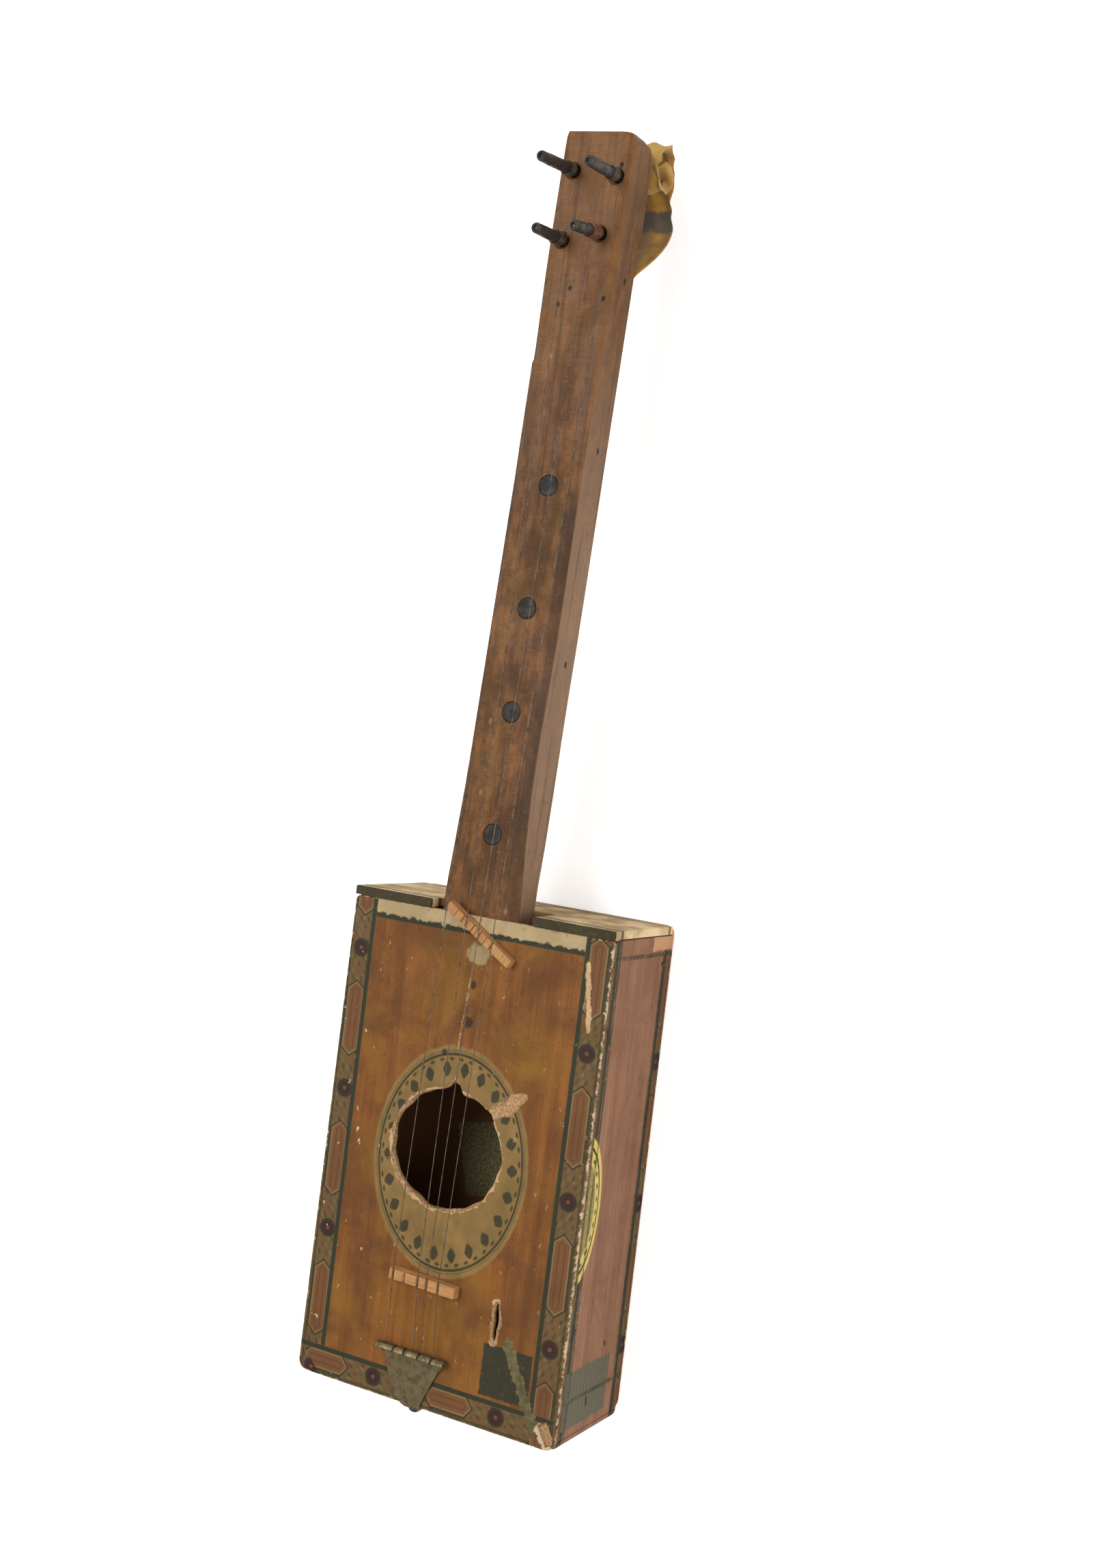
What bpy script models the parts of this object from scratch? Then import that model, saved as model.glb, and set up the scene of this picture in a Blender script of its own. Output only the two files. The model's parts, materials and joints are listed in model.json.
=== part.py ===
"""Cigar box banjo: a thin wooden box, one plank for a neck, four strings.

The instrument lies on its back. X runs across it, Y runs along the neck
towards the headstock and Z comes up out of the soundboard. The origin is the
centre of the box's back face. Lengths are metres; mm() turns millimetres
into metres.
"""
import math

import bmesh
import bpy
from mathutils import Matrix, Vector


def mm(value):
    """Millimetres to metres."""
    return value * 0.001


# box
BOX_LENGTH = mm(229.0)
BOX_WIDTH = mm(137.8)
BOX_HEAD_WIDTH = mm(135.0)
BOX_DEPTH = mm(62.8)
BOARD_THICK = mm(3.5)
SIDE_THICK = mm(4.0)
END_THICK = mm(4.0)
GAP = mm(0.3)
END_PROUD = mm(1.0)
END_OVERHANG = mm(0.5)
TAIL_CORNER = mm(5.0)
HEAD_CORNER = mm(2.5)
BACK_EDGE = mm(3.0)
ARRIS = mm(0.5)

HALF_LENGTH = BOX_LENGTH / 2
HALF_WIDTH = BOX_WIDTH / 2
TAIL_Y = -HALF_LENGTH
TOP_Z = BOX_DEPTH
BOARD_Z = BOX_DEPTH - BOARD_THICK
HEAD_BOARD_Y = HALF_LENGTH - END_THICK - GAP

# openings
HOLE_X = mm(-3.7)
HOLE_Y = mm(3.5)
HOLE_RX = mm(28.4)
HOLE_RY = mm(26.8)
HOLE_POINTS = 64
CRACK_X = mm(32.4)
CRACK_Y = mm(-65.9)
CRACK_LENGTH = mm(17.0)
CRACK_WIDTH = mm(2.6)
NOTCH_LEFT = mm(-26.0)
NOTCH_RIGHT = mm(27.5)

# neck
NECK_FRONT = BOARD_Z - GAP
NECK_THICK = mm(21.0)
NECK_BACK = NECK_FRONT - NECK_THICK
HEAD_SKEW = mm(1.5)
# y, left edge x, right edge x in front, right edge x at the back, thickness
# taken off the back, radius of the front right arris, all in millimetres.
NECK_STATIONS = [
    (50.0, -24.6, 16.6, 12.2, 0.0, 0.8),
    (111.0, -22.7, 17.6, 13.6, 0.0, 0.8),
    (125.0, -22.0, 17.2, 14.0, 0.0, 1.2),
    (143.5, -20.6, 16.3, 15.2, 0.0, 1.4),
    (168.0, -18.9, 16.0, 16.2, 0.0, 1.2),
    (192.0, -17.6, 16.6, 17.0, 0.0, 1.0),
    (211.0, -16.8, 17.8, 17.7, 0.0, 1.0),
    (236.0, -15.4, 19.3, 18.8, 0.0, 1.2),
    (283.0, -13.4, 20.6, 20.5, 0.0, 1.0),
    (322.0, -12.2, 22.0, 21.8, 0.0, 1.2),
    (359.0, -10.9, 23.0, 23.1, 0.0, 1.4),
    (361.0, -10.1, 23.1, 23.2, 0.0, 1.6),
    (399.0, -9.5, 24.7, 24.5, 0.0, 2.4),
    (420.0, -8.8, 25.4, 25.1, 0.4, 3.6),
    (422.0, -8.7, 25.9, 25.9, 0.0, 4.2),
    (441.0, -7.9, 26.4, 26.4, 0.0, 4.8),
    (455.5, -7.2, 26.6, 26.6, 0.0, 4.6),
    (459.8, -6.9, 26.4, 26.2, 2.2, 4.6),
    (461.8, -6.2, 25.4, 25.0, 6.5, 4.6),
]
CORNER_STEPS = 3

DOT_DIAMETER = mm(9.2)
DOT_DEPTH = mm(2.0)
DOT_CENTRES = [(5.4, 304.6), (2.2, 249.4), (0.6, 202.7), (-1.4, 147.2)]

# pins
PIN_RADIUS = mm(2.55)
PIN_BURIED = mm(16.5)
PIN_SEGMENTS = 20
MOUTH_RADIUS = mm(4.1)
MOUTH_DEPTH = mm(1.6)
# x, y of the hole's mouth, length above the neck, lean towards the tail in
# degrees, side on which the string leaves, turns of wire.
PINS = [
    (mm(-1.7), mm(444.3), mm(29.5), 5.5, 1, 5),
    (mm(20.3), mm(441.2), mm(26.5), 3.0, 1, 5),
    (mm(-3.2), mm(413.5), mm(24.0), 3.0, -1, 5),
    (mm(15.3), mm(416.2), mm(24.0), 7.5, -1, 9),
]
WIRE_RADIUS = mm(0.225)
WINDING_PITCH = mm(0.92)
WINDING_START = mm(1.9)
WINDING_POINTS = 24

# fittings
BRIDGE_LENGTH = mm(36.0)
BRIDGE_WIDTH = mm(5.6)
BRIDGE_HEIGHT = mm(4.2)
BRIDGE_X = mm(-5.3)
BRIDGE_Y = mm(-57.0)
BRIDGE_TURN = math.radians(-1.6)
BRIDGE_NOTCHES = [-20.6, -14.6, -7.3, -2.5, 3.6]
NOTCH_DEPTH = mm(1.2)
NOTCH_HALF = mm(0.95)

NUT_LENGTH = mm(42.0)
NUT_WIDTH = mm(4.6)
NUT_HEIGHT = mm(4.0)
NUT_X = mm(2.0)
NUT_Y = mm(103.0)
NUT_TURN = math.radians(-31.7)
NUT_CUTS = [-14.5, -10.2, -7.4, -3.6, -1.4, 0.9, 4.6, 8.6]

TAIL_BAR_LEFT = mm(-25.0)
TAIL_BAR_RIGHT = mm(11.0)
TAIL_BAR_Y = mm(-91.0)
TAIL_METAL = mm(0.9)
CURL_RADIUS = mm(2.3)
TAIL_SLOTS = [-15.6, -9.6, -2.1, 4.6]
SLOT_WIDTH = mm(1.4)
TONGUE_DROP = mm(11.0)
TAIL_SCREW_X = mm(-6.2)
TAIL_SCREW_Z = BOARD_Z - mm(1.9)

# x of each string at its bridge notch and at the rolled edge.
STRING_RUNS = [(-7.3, -5.6), (3.6, 4.6), (-20.6, -20.4), (-2.5, -2.1)]

# ribbon
RIBBON_THICK = mm(1.0)
RIBBON_ALONG = 44
RIBBON_ACROSS = 12
RIBBON_FOLD = mm(1.5)
TACK_X = mm(11.5)
TACK_Y = mm(398.5)


def clear_scene():
    """Remove whatever the file opened with."""
    for old in list(bpy.data.objects):
        bpy.data.objects.remove(old, do_unlink=True)


def material(name, colour, roughness, metallic=0.0):
    """One plain finish."""
    mat = bpy.data.materials.new(name)
    mat.use_nodes = True
    shader = mat.node_tree.nodes["Principled BSDF"]
    shader.inputs["Base Color"].default_value = (*colour, 1.0)
    shader.inputs["Roughness"].default_value = roughness
    shader.inputs["Metallic"].default_value = metallic
    return mat


def add_object(name, bm, mat, origin=(0.0, 0.0, 0.0), smooth=False):
    """Turn a bmesh drawn in world coordinates into an object with an origin."""
    bmesh.ops.translate(bm, verts=bm.verts, vec=-Vector(origin))
    bmesh.ops.recalc_face_normals(bm, faces=bm.faces)
    mesh = bpy.data.meshes.new(name)
    bm.to_mesh(mesh)
    bm.free()
    if smooth:
        mesh.shade_smooth()
        mesh.set_sharp_from_angle(angle=math.radians(35))
    obj = bpy.data.objects.new(name, mesh)
    obj.location = origin
    if mat is not None:
        obj.data.materials.append(mat)
    bpy.context.scene.collection.objects.link(obj)
    return obj


def block(x_range, y_range, z_range):
    """A bmesh box between three pairs of coordinates."""
    bm = bmesh.new()
    bmesh.ops.create_cube(bm, size=1.0)
    size = [hi - lo for lo, hi in (x_range, y_range, z_range)]
    centre = [(hi + lo) / 2 for lo, hi in (x_range, y_range, z_range)]
    bmesh.ops.scale(bm, verts=bm.verts, vec=size)
    bmesh.ops.translate(bm, verts=bm.verts, vec=centre)
    return bm


def round_edges(bm, keep, radius, segments=4):
    """Round the edges whose middle and direction pass a test."""
    chosen = []
    for edge in bm.edges:
        a, b = edge.verts[0].co, edge.verts[1].co
        if keep((a + b) / 2, (b - a).normalized()):
            chosen.append(edge)
    bmesh.ops.bevel(bm, geom=chosen, offset=radius, offset_type="OFFSET",
                    segments=segments, profile=0.5, affect="EDGES")


def taper(bm):
    """Draw the box in towards its neck end, where it is a touch narrower."""
    for vert in bm.verts:
        share = (vert.co.y - TAIL_Y) / BOX_LENGTH
        vert.co.x *= 1.0 - (1.0 - BOX_HEAD_WIDTH / BOX_WIDTH) * share


def along(direction, axis):
    """Whether an edge direction runs along one axis."""
    return abs(direction[axis]) > 0.99


def prism(outline, z_low, z_high):
    """Extrude a closed XY outline between two heights."""
    bm = bmesh.new()
    verts = [bm.verts.new((x, y, z_low)) for x, y in outline]
    face = bm.faces.new(verts)
    moved = bmesh.ops.extrude_face_region(bm, geom=[face])
    top = [item for item in moved["geom"] if isinstance(item, bmesh.types.BMVert)]
    bmesh.ops.translate(bm, verts=top, vec=(0.0, 0.0, z_high - z_low))
    return bm


def loft(rings):
    """Skin a row of equal closed rings and cap both ends."""
    bm = bmesh.new()
    loops = []
    for ring in rings:
        verts = [bm.verts.new(point) for point in ring]
        edges = [bm.edges.new((verts[i - 1], verts[i])) for i in range(len(verts))]
        loops.append((verts, edges))
    for (first, _), (second, _) in zip(loops, loops[1:]):
        count = len(first)
        for i in range(count):
            j = (i + 1) % count
            bm.faces.new((first[i], first[j], second[j], second[i]))
    bm.faces.new(loops[0][0])
    bm.faces.new(loops[-1][0])
    return bm


def turned(profile, segments):
    """Spin an (r, z) profile, listed from the bottom, round the Z axis."""
    bm = bmesh.new()
    verts = [bm.verts.new((r, 0.0, z)) for r, z in profile]
    edges = [bm.edges.new(pair) for pair in zip(verts, verts[1:])]
    bmesh.ops.spin(bm, geom=verts + edges, cent=(0, 0, 0), axis=(0, 0, 1),
                   angle=math.tau, steps=segments, use_merge=True)
    bmesh.ops.remove_doubles(bm, verts=bm.verts, dist=1e-6)
    return bm


def cutter(name, bm, matrix=None):
    """A guide that only cuts; it is no part of the instrument."""
    if matrix is not None:
        bmesh.ops.transform(bm, matrix=matrix, verts=bm.verts)
    obj = add_object(name, bm, None)
    obj.hide_render = True
    obj.display_type = "WIRE"
    return obj


def cut(target, tool, operation="DIFFERENCE"):
    """Leave a Boolean on the target."""
    mod = target.modifiers.new(tool.name, "BOOLEAN")
    mod.operation = operation
    mod.solver = "EXACT"
    mod.object = tool


def wire(name, points, mat, radii=None, resolution=2, parent=None):
    """A round wire along points, as a curve with a bevel and filled caps."""
    curve = bpy.data.curves.new(name, "CURVE")
    curve.dimensions = "3D"
    curve.bevel_depth = WIRE_RADIUS
    curve.bevel_resolution = resolution
    curve.use_fill_caps = True
    spline = curve.splines.new("POLY")
    spline.points.add(len(points) - 1)
    for i, point in enumerate(points):
        spline.points[i].co = (*point, 1.0)
        spline.points[i].radius = radii[i] if radii else 1.0
    obj = bpy.data.objects.new(name, curve)
    obj.data.materials.append(mat)
    obj.parent = parent
    bpy.context.scene.collection.objects.link(obj)
    return obj


# the box

def ragged_ring(extra, z):
    """The sound hole's torn outline at one height; extra widens it."""
    ring = []
    for i in range(HOLE_POINTS):
        a = math.tau * i / HOLE_POINTS
        rough = 0.35 * math.sin(7 * a + 0.6) + 0.3 * math.sin(11 * a + 2.0)
        rough += 0.22 * math.sin(17 * a + 1.1)
        tear = extra * (0.9 + 0.55 * math.sin(5 * a + 1.0) + 0.45 * math.sin(13 * a))
        notch = 5.6 * max(0.0, 1.0 - abs(a - math.radians(88)) / 0.17)
        notch += 2.4 * max(0.0, 1.0 - abs(a - math.radians(47)) / 0.22)
        grow = mm(rough + max(0.0, tear) + notch)
        x = HOLE_X + (HOLE_RX + grow) * math.cos(a)
        y = HOLE_Y + (HOLE_RY + grow) * math.sin(a)
        ring.append((x, y, z))
    return ring


def leaf(length, width, wobble):
    """A torn, pointed outline about the origin, long way along Y."""
    points = []
    for i in range(16):
        a = math.tau * i / 16
        swell = abs(math.sin(a)) ** 0.75 * math.copysign(1.0, math.sin(a))
        x = width / 2 * swell * (1.0 + wobble * math.sin(5 * a + 0.7))
        y = length / 2 * math.cos(a)
        points.append((x, y))
    return points


def shifted(outline, x, y, turn=0.0):
    """Turn an outline and move it."""
    c, s = math.cos(turn), math.sin(turn)
    return [(x + c * u - s * v, y + s * u + c * v) for u, v in outline]


def build_soundboard(mat):
    """Front board with its torn sound hole, crack and chipped corner."""
    bm = block((-HALF_WIDTH, HALF_WIDTH), (TAIL_Y, HEAD_BOARD_Y), (BOARD_Z, TOP_Z))
    round_edges(bm, lambda m, d: along(d, 2) and m.y < 0, TAIL_CORNER)
    round_edges(bm, lambda m, d: along(d, 2) and m.y > 0, HEAD_CORNER, 3)
    round_edges(bm, lambda m, d: m.z > TOP_Z - mm(0.01) and abs(d.z) < 0.01, ARRIS, 2)
    taper(bm)
    board = add_object("soundboard", bm, mat)
    rings = [ragged_ring(0.0, BOARD_Z - mm(2)), ragged_ring(0.0, BOARD_Z + mm(2.0)),
             ragged_ring(1.0, TOP_Z - mm(0.3)), ragged_ring(1.1, TOP_Z + mm(1.5))]
    cut(board, cutter("cut_sound_hole", loft(rings)))
    crack = shifted(leaf(CRACK_LENGTH, CRACK_WIDTH, 0.25), CRACK_X, CRACK_Y)
    cut(board, cutter("cut_crack", prism(crack, BOARD_Z - mm(2), TOP_Z + mm(2))))
    torn = shifted(leaf(mm(20.5), mm(5.4), 0.3), CRACK_X + mm(0.3), CRACK_Y - mm(0.6))
    cut(board, cutter("cut_crack_lip", prism(torn, TOP_Z - mm(0.7), TOP_Z + mm(2))))
    splinter = shifted(leaf(mm(26.0), mm(7.0), 0.35), mm(24.5), mm(28.5),
                       math.radians(-52))
    cut(board, cutter("cut_splinter", prism(splinter, TOP_Z - mm(0.8), TOP_Z + mm(2))))
    chip = block((mm(-5), mm(5)), (mm(-2.6), mm(2.6)), (mm(-0.9), mm(4)))
    turn = Matrix.Rotation(math.radians(-58), 4, "Z")
    tilt = Matrix.Rotation(math.radians(13), 4, "X")
    place = Matrix.Translation((mm(64.0), mm(-107.5), TOP_Z)) @ turn @ tilt
    cut(board, cutter("cut_corner_chip", chip, place))
    return board


def build_back(mat):
    """Back board, with its outer rim rounded by wear."""
    bm = block((-HALF_WIDTH, HALF_WIDTH), (TAIL_Y, HALF_LENGTH), (0.0, BOARD_THICK))
    round_edges(bm, lambda m, d: along(d, 2) and m.y < 0, TAIL_CORNER + mm(3), 6)
    round_edges(bm, lambda m, d: along(d, 2) and m.y > 0, HEAD_CORNER + mm(1.5), 4)
    round_edges(bm, lambda m, d: m.z < mm(0.01) and abs(d.z) < 0.01, BACK_EDGE * 0.6, 3)
    taper(bm)
    return add_object("back_panel", bm, mat)


def build_sides(mat):
    """The two long walls, between the end panels."""
    wall_z = (BOARD_THICK + GAP, BOARD_Z - GAP)
    wall_y = (TAIL_Y + END_THICK + GAP, HALF_LENGTH - END_THICK - GAP)
    sides = []
    for name, sign in (("left_side", -1), ("right_side", 1)):
        inner, outer = sign * (HALF_WIDTH - SIDE_THICK), sign * HALF_WIDTH
        bm = block((min(inner, outer), max(inner, outer)), wall_y, wall_z)
        taper(bm)
        sides.append(add_object(name, bm, mat))
    return sides


def build_tail_end(mat):
    """Tail wall, with the hole for the tailpiece screw."""
    bm = block((-HALF_WIDTH, HALF_WIDTH), (TAIL_Y, TAIL_Y + END_THICK),
               (BOARD_THICK + GAP, BOARD_Z - GAP))
    round_edges(bm, lambda m, d: along(d, 2) and m.y < TAIL_Y + mm(0.1), mm(3.7))
    taper(bm)
    wall = add_object("tail_end_panel", bm, mat)
    bore = turned([(0, mm(-8)), (mm(1.1), mm(-8)), (mm(1.1), mm(8)), (0, mm(8))], 12)
    place = Matrix.Translation((TAIL_SCREW_X, TAIL_Y, TAIL_SCREW_Z))
    place = place @ Matrix.Rotation(math.radians(90), 4, "X")
    cut(wall, cutter("cut_screw_hole", bore, place))
    return wall


def build_neck_end(mat):
    """Neck wall: it laps the soundboard's end and is notched for the neck."""
    low, high = BOARD_THICK + GAP, TOP_Z + END_PROUD
    half = HALF_WIDTH + END_OVERHANG
    floor = NECK_BACK - GAP
    bm = bmesh.new()
    outline = [(-half, low), (half, low), (half, high), (NOTCH_RIGHT, high),
               (NOTCH_RIGHT - mm(1.2), floor), (NOTCH_LEFT, floor),
               (NOTCH_LEFT - mm(0.6), high), (-half, high)]
    y_low = HALF_LENGTH - END_THICK
    verts = [bm.verts.new((x, y_low, z)) for x, z in outline]
    face = bm.faces.new(verts)
    moved = bmesh.ops.extrude_face_region(bm, geom=[face])
    far = [item for item in moved["geom"] if isinstance(item, bmesh.types.BMVert)]
    bmesh.ops.translate(bm, verts=far, vec=(0.0, END_THICK, 0.0))
    round_edges(bm, lambda m, d: along(d, 1) and abs(m.x) > half - mm(1), mm(1.4), 3)
    round_edges(bm, lambda m, d: m.y > HALF_LENGTH - mm(0.01) and abs(d.y) < 0.01,
                mm(0.5), 2)
    taper(bm)
    return add_object("neck_end_panel", bm, mat)


# the neck

def neck_section(left, right_front, right_back, thin, arris):
    """Corners of the plank's section, each turned with a small radius."""
    back = NECK_BACK + thin
    corners = [(left, back, mm(1.2)), (right_back, back, mm(1.2)),
               (right_front, NECK_FRONT, arris), (left, NECK_FRONT, mm(0.9))]
    points = []
    for i, (x, z, radius) in enumerate(corners):
        here = Vector((x, z))
        before = (Vector(corners[i - 1][:2]) - here).normalized()
        after = (Vector(corners[(i + 1) % 4][:2]) - here).normalized()
        start, end = here + before * radius, here + after * radius
        for k in range(CORNER_STEPS + 1):
            t = k / CORNER_STEPS
            curve = start * (1 - t) ** 2 + here * 2 * t * (1 - t) + end * t * t
            points.append(curve)
    return points


def right_most(front, back):
    """The further of a section's two right-hand corners."""
    return max(front, back)


def build_neck(mat):
    """One plank: neck, headstock and the stub that goes into the box."""
    rings = []
    for y, left, front, back, thin, arris in NECK_STATIONS:
        section = neck_section(mm(left), mm(front), mm(back), mm(thin), mm(arris))
        skew = HEAD_SKEW * max(0.0, (y - 441.0) / 20.8) / mm(right_most(front, back) - left)
        rings.append([(p.x, mm(y) - skew * (p.x - mm(left)), p.y) for p in section])
    neck = add_object("neck", loft(rings), mat, smooth=True)
    for i, (x, y) in enumerate(DOT_CENTRES):
        r = DOT_DIAMETER / 2 + GAP
        low, high = NECK_FRONT - DOT_DEPTH - GAP, NECK_FRONT + mm(2)
        bm = turned([(0, low), (r, low), (r, high), (0, high)], 24)
        cut(neck, cutter(f"cut_dot_{i + 1}", bm, Matrix.Translation((mm(x), mm(y), 0))))
    for i, pin in enumerate(PINS):
        r = PIN_RADIUS + GAP
        bottom = -PIN_BURIED - GAP
        bm = turned([(0, bottom), (r, bottom), (r, -MOUTH_DEPTH), (MOUTH_RADIUS, 0),
                     (MOUTH_RADIUS + mm(0.6), mm(3)), (0, mm(3))], 20)
        cut(neck, cutter(f"cut_pin_{i + 1}", bm, pin_matrix(pin)))
    bm = turned([(0, mm(-2)), (mm(1.0), mm(-2)), (mm(1.0), mm(7.5)), (0, mm(7.5))], 12)
    cut(neck, cutter("cut_tack", bm, Matrix.Translation((TACK_X, TACK_Y, NECK_BACK))))
    return neck


def build_dots(mat):
    """Four round position marks let into the neck."""
    r = DOT_DIAMETER / 2
    for i, (x, y) in enumerate(DOT_CENTRES):
        low, high = NECK_FRONT - DOT_DEPTH, NECK_FRONT + mm(0.1)
        bm = turned([(0, low), (r, low), (r, high - mm(0.15)), (r - mm(0.3), high),
                     (0, high)], 24)
        bmesh.ops.translate(bm, verts=bm.verts, vec=(mm(x), mm(y), 0.0))
        add_object(f"position_dot_{i + 1}", bm, mat, smooth=True)


# pins and strings

def pin_matrix(pin):
    """Frame of a pin: its Z runs up the leaning pin from the hole's mouth."""
    x, y, _, lean, _, _ = pin
    turn = Matrix.Rotation(math.radians(lean), 4, "X")
    return Matrix.Translation((x, y, NECK_FRONT)) @ turn


def build_pin(index, pin, steel):
    """A straight tuning pin with a dished, rounded tip, under its own empty."""
    x, y, length, lean, _, _ = pin
    pivot = bpy.data.objects.new(f"pin_axis_{index}", None)
    pivot.location = (x, y, NECK_FRONT)
    pivot.rotation_euler = (math.radians(lean), 0.0, 0.0)
    pivot.empty_display_size = mm(6)
    bpy.context.scene.collection.objects.link(pivot)
    r = PIN_RADIUS
    profile = [(0, -PIN_BURIED), (r * 0.55, -PIN_BURIED), (r * 0.94, -PIN_BURIED + mm(2)),
               (r, -PIN_BURIED + mm(5)), (r, length - mm(9)), (r * 0.95, length - mm(4)),
               (r * 0.93, length - mm(1.1)), (r * 0.8, length - mm(0.35)),
               (r * 0.56, length), (r * 0.44, length - mm(0.1)),
               (r * 0.3, length - mm(1.3)), (0, length - mm(1.5))]
    body = add_object(f"tuning_pin_{index}", turned(profile, PIN_SEGMENTS), steel,
                      smooth=True)
    body.parent = pivot
    return pivot


def winding_points(pin):
    """The wire's turns round a pin, up from where the string leaves it."""
    side, turns = pin[4], pin[5]
    radius = PIN_RADIUS + GAP + WIRE_RADIUS
    start = 0.0 if side > 0 else math.pi
    points = [(side * radius, -mm(1.0), WINDING_START)]
    for i in range(turns * WINDING_POINTS + 1):
        t = i / WINDING_POINTS
        a = start + side * math.tau * t
        points.append((radius * math.cos(a), radius * math.sin(a),
                       WINDING_START + WINDING_PITCH * t))
    end = Vector(points[-1])
    run = (end - Vector(points[-2])).normalized() * mm(0.6)
    points.append(tuple(end + run))
    return points


def least_gap(points, skip):
    """Smallest clear distance between turns of one wire, in millimetres."""
    best = 1.0
    for i, a in enumerate(points):
        for b in points[i + skip:]:
            best = min(best, math.dist(a, b))
    return (best - 2 * WIRE_RADIUS) * 1000


def string_points(index, pin):
    """One string from beside its pin, over the nut and bridge, to the tail."""
    side = pin[4]
    radius = PIN_RADIUS + GAP + WIRE_RADIUS
    leave = pin_matrix(pin) @ Vector((side * radius, 0.0, WINDING_START))
    notch_x, tail_x = (mm(v) for v in STRING_RUNS[index])
    saddle = Vector((notch_x, BRIDGE_Y, TOP_Z + GAP + BRIDGE_HEIGHT - mm(0.3)))
    span = leave - saddle
    t_nut = nut_crossing(saddle, leave)
    nut_top = TOP_Z + GAP + NUT_HEIGHT + GAP + WIRE_RADIUS
    nut = saddle + span * t_nut
    nut.z = nut_top
    away = (nut - leave).normalized()
    tail = Vector((tail_x, TAIL_BAR_Y + mm(3.4), TOP_Z + mm(2.6)))
    points = [leave + away * mm(2.2)]
    points += [points[0].lerp(nut, k / 5) for k in range(1, 5)]
    points += [nut + (nut - saddle).normalized() * mm(1.5)]
    points += [nut - (nut - saddle).normalized() * mm(1.5)]
    points += [nut.lerp(saddle, k / 4) for k in range(1, 4)]
    points += [saddle + Vector((0, mm(1.4), 0)), saddle - Vector((0, mm(1.4), mm(0.2)))]
    points += [saddle.lerp(tail, 0.5), tail]
    radii = [1.0] * len(points)
    for step, scale in ((1.9, 1.0), (2.6, 1.0), (2.9, 2.2), (3.5, 3.0), (4.1, 2.2)):
        points.append(tail - Vector((0.0, mm(step), 0.0)))
        radii.append(scale)
    return [tuple(p) for p in points], radii


def nut_crossing(start, end):
    """Where the line from bridge to pin crosses the slanted nut."""
    c, s = math.cos(NUT_TURN), math.sin(NUT_TURN)
    normal = Vector((-s, c))
    run = Vector((end.x - start.x, end.y - start.y))
    to_nut = Vector((NUT_X - start.x, NUT_Y - start.y))
    return to_nut.dot(normal) / run.dot(normal)


def build_strings(steel, copper, wire_mat):
    """Pins, the turns on them and the four free runs."""
    for i, pin in enumerate(PINS):
        pivot = build_pin(i + 1, pin, steel)
        turns = winding_points(pin)
        finish = copper if i == 3 else wire_mat
        wire(f"string_winding_{i + 1}", turns, finish, resolution=1, parent=pivot)
        gap = least_gap(turns, WINDING_POINTS // 2)
        print(f"string_winding_{i + 1}: least gap between turns {gap:.2f} mm")
        points, radii = string_points(i, pin)
        wire(f"string_{i + 1}", points, wire_mat, radii=radii)


# bridge and nut

def notched_stick(length, width, height, cuts, half, slope):
    """A whittled stick about the origin with V cuts across its top."""
    bm = bmesh.new()
    top = [(-length / 2 + slope, height)]
    for x, cut_depth in cuts:
        top += [(x - half, height), (x, height - cut_depth), (x + half, height)]
    top.append((length / 2 - slope * 0.4, height))
    outline = [(-length / 2, 0.0), *[(x, z) for x, z in top], (length / 2, 0.0)]
    verts = [bm.verts.new((x, -width / 2, z)) for x, z in outline]
    face = bm.faces.new(verts)
    moved = bmesh.ops.extrude_face_region(bm, geom=[face])
    far = [item for item in moved["geom"] if isinstance(item, bmesh.types.BMVert)]
    bmesh.ops.translate(bm, verts=far, vec=(0.0, width, 0.0))
    for v in bm.verts:
        squeeze = 0.86 if v.co.z > height * 0.6 else 1.0
        v.co.y *= squeeze * (1.0 + 0.06 * math.sin(v.co.x * 190.0))
    return bm


def build_bridge(mat):
    """The bridge: a light stick standing under the strings, five V cuts."""
    cuts = [(mm(x) - BRIDGE_X, NOTCH_DEPTH) for x in BRIDGE_NOTCHES]
    bm = notched_stick(BRIDGE_LENGTH, BRIDGE_WIDTH, BRIDGE_HEIGHT, cuts, NOTCH_HALF,
                       mm(1.0))
    place = Matrix.Translation((BRIDGE_X, BRIDGE_Y, TOP_Z + GAP))
    place = place @ Matrix.Rotation(BRIDGE_TURN, 4, "Z")
    bmesh.ops.transform(bm, matrix=place, verts=bm.verts)
    return add_object("bridge", bm, mat)


def build_nut(mat):
    """The slipped nut: a like stick, lying aslant at the foot of the neck."""
    cuts = [(mm(x), mm(0.9 + 0.35 * math.sin(x))) for x in NUT_CUTS]
    bm = notched_stick(NUT_LENGTH, NUT_WIDTH, NUT_HEIGHT, cuts, mm(0.3), mm(0.8))
    place = Matrix.Translation((NUT_X, NUT_Y, TOP_Z + GAP))
    place = place @ Matrix.Rotation(NUT_TURN, 4, "Z")
    bmesh.ops.transform(bm, matrix=place, verts=bm.verts)
    return add_object("slipped_nut", bm, mat)


# tailpiece

def tail_width(y):
    """Left and right edge of the sheet at a distance above the tail edge."""
    t = max(0.0, min(1.0, y / mm(23.5)))
    left = mm(-8.2) - mm(13.9) * t ** 0.42
    right = mm(-0.8) + mm(10.2) * t ** 1.1
    return left, right


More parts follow.
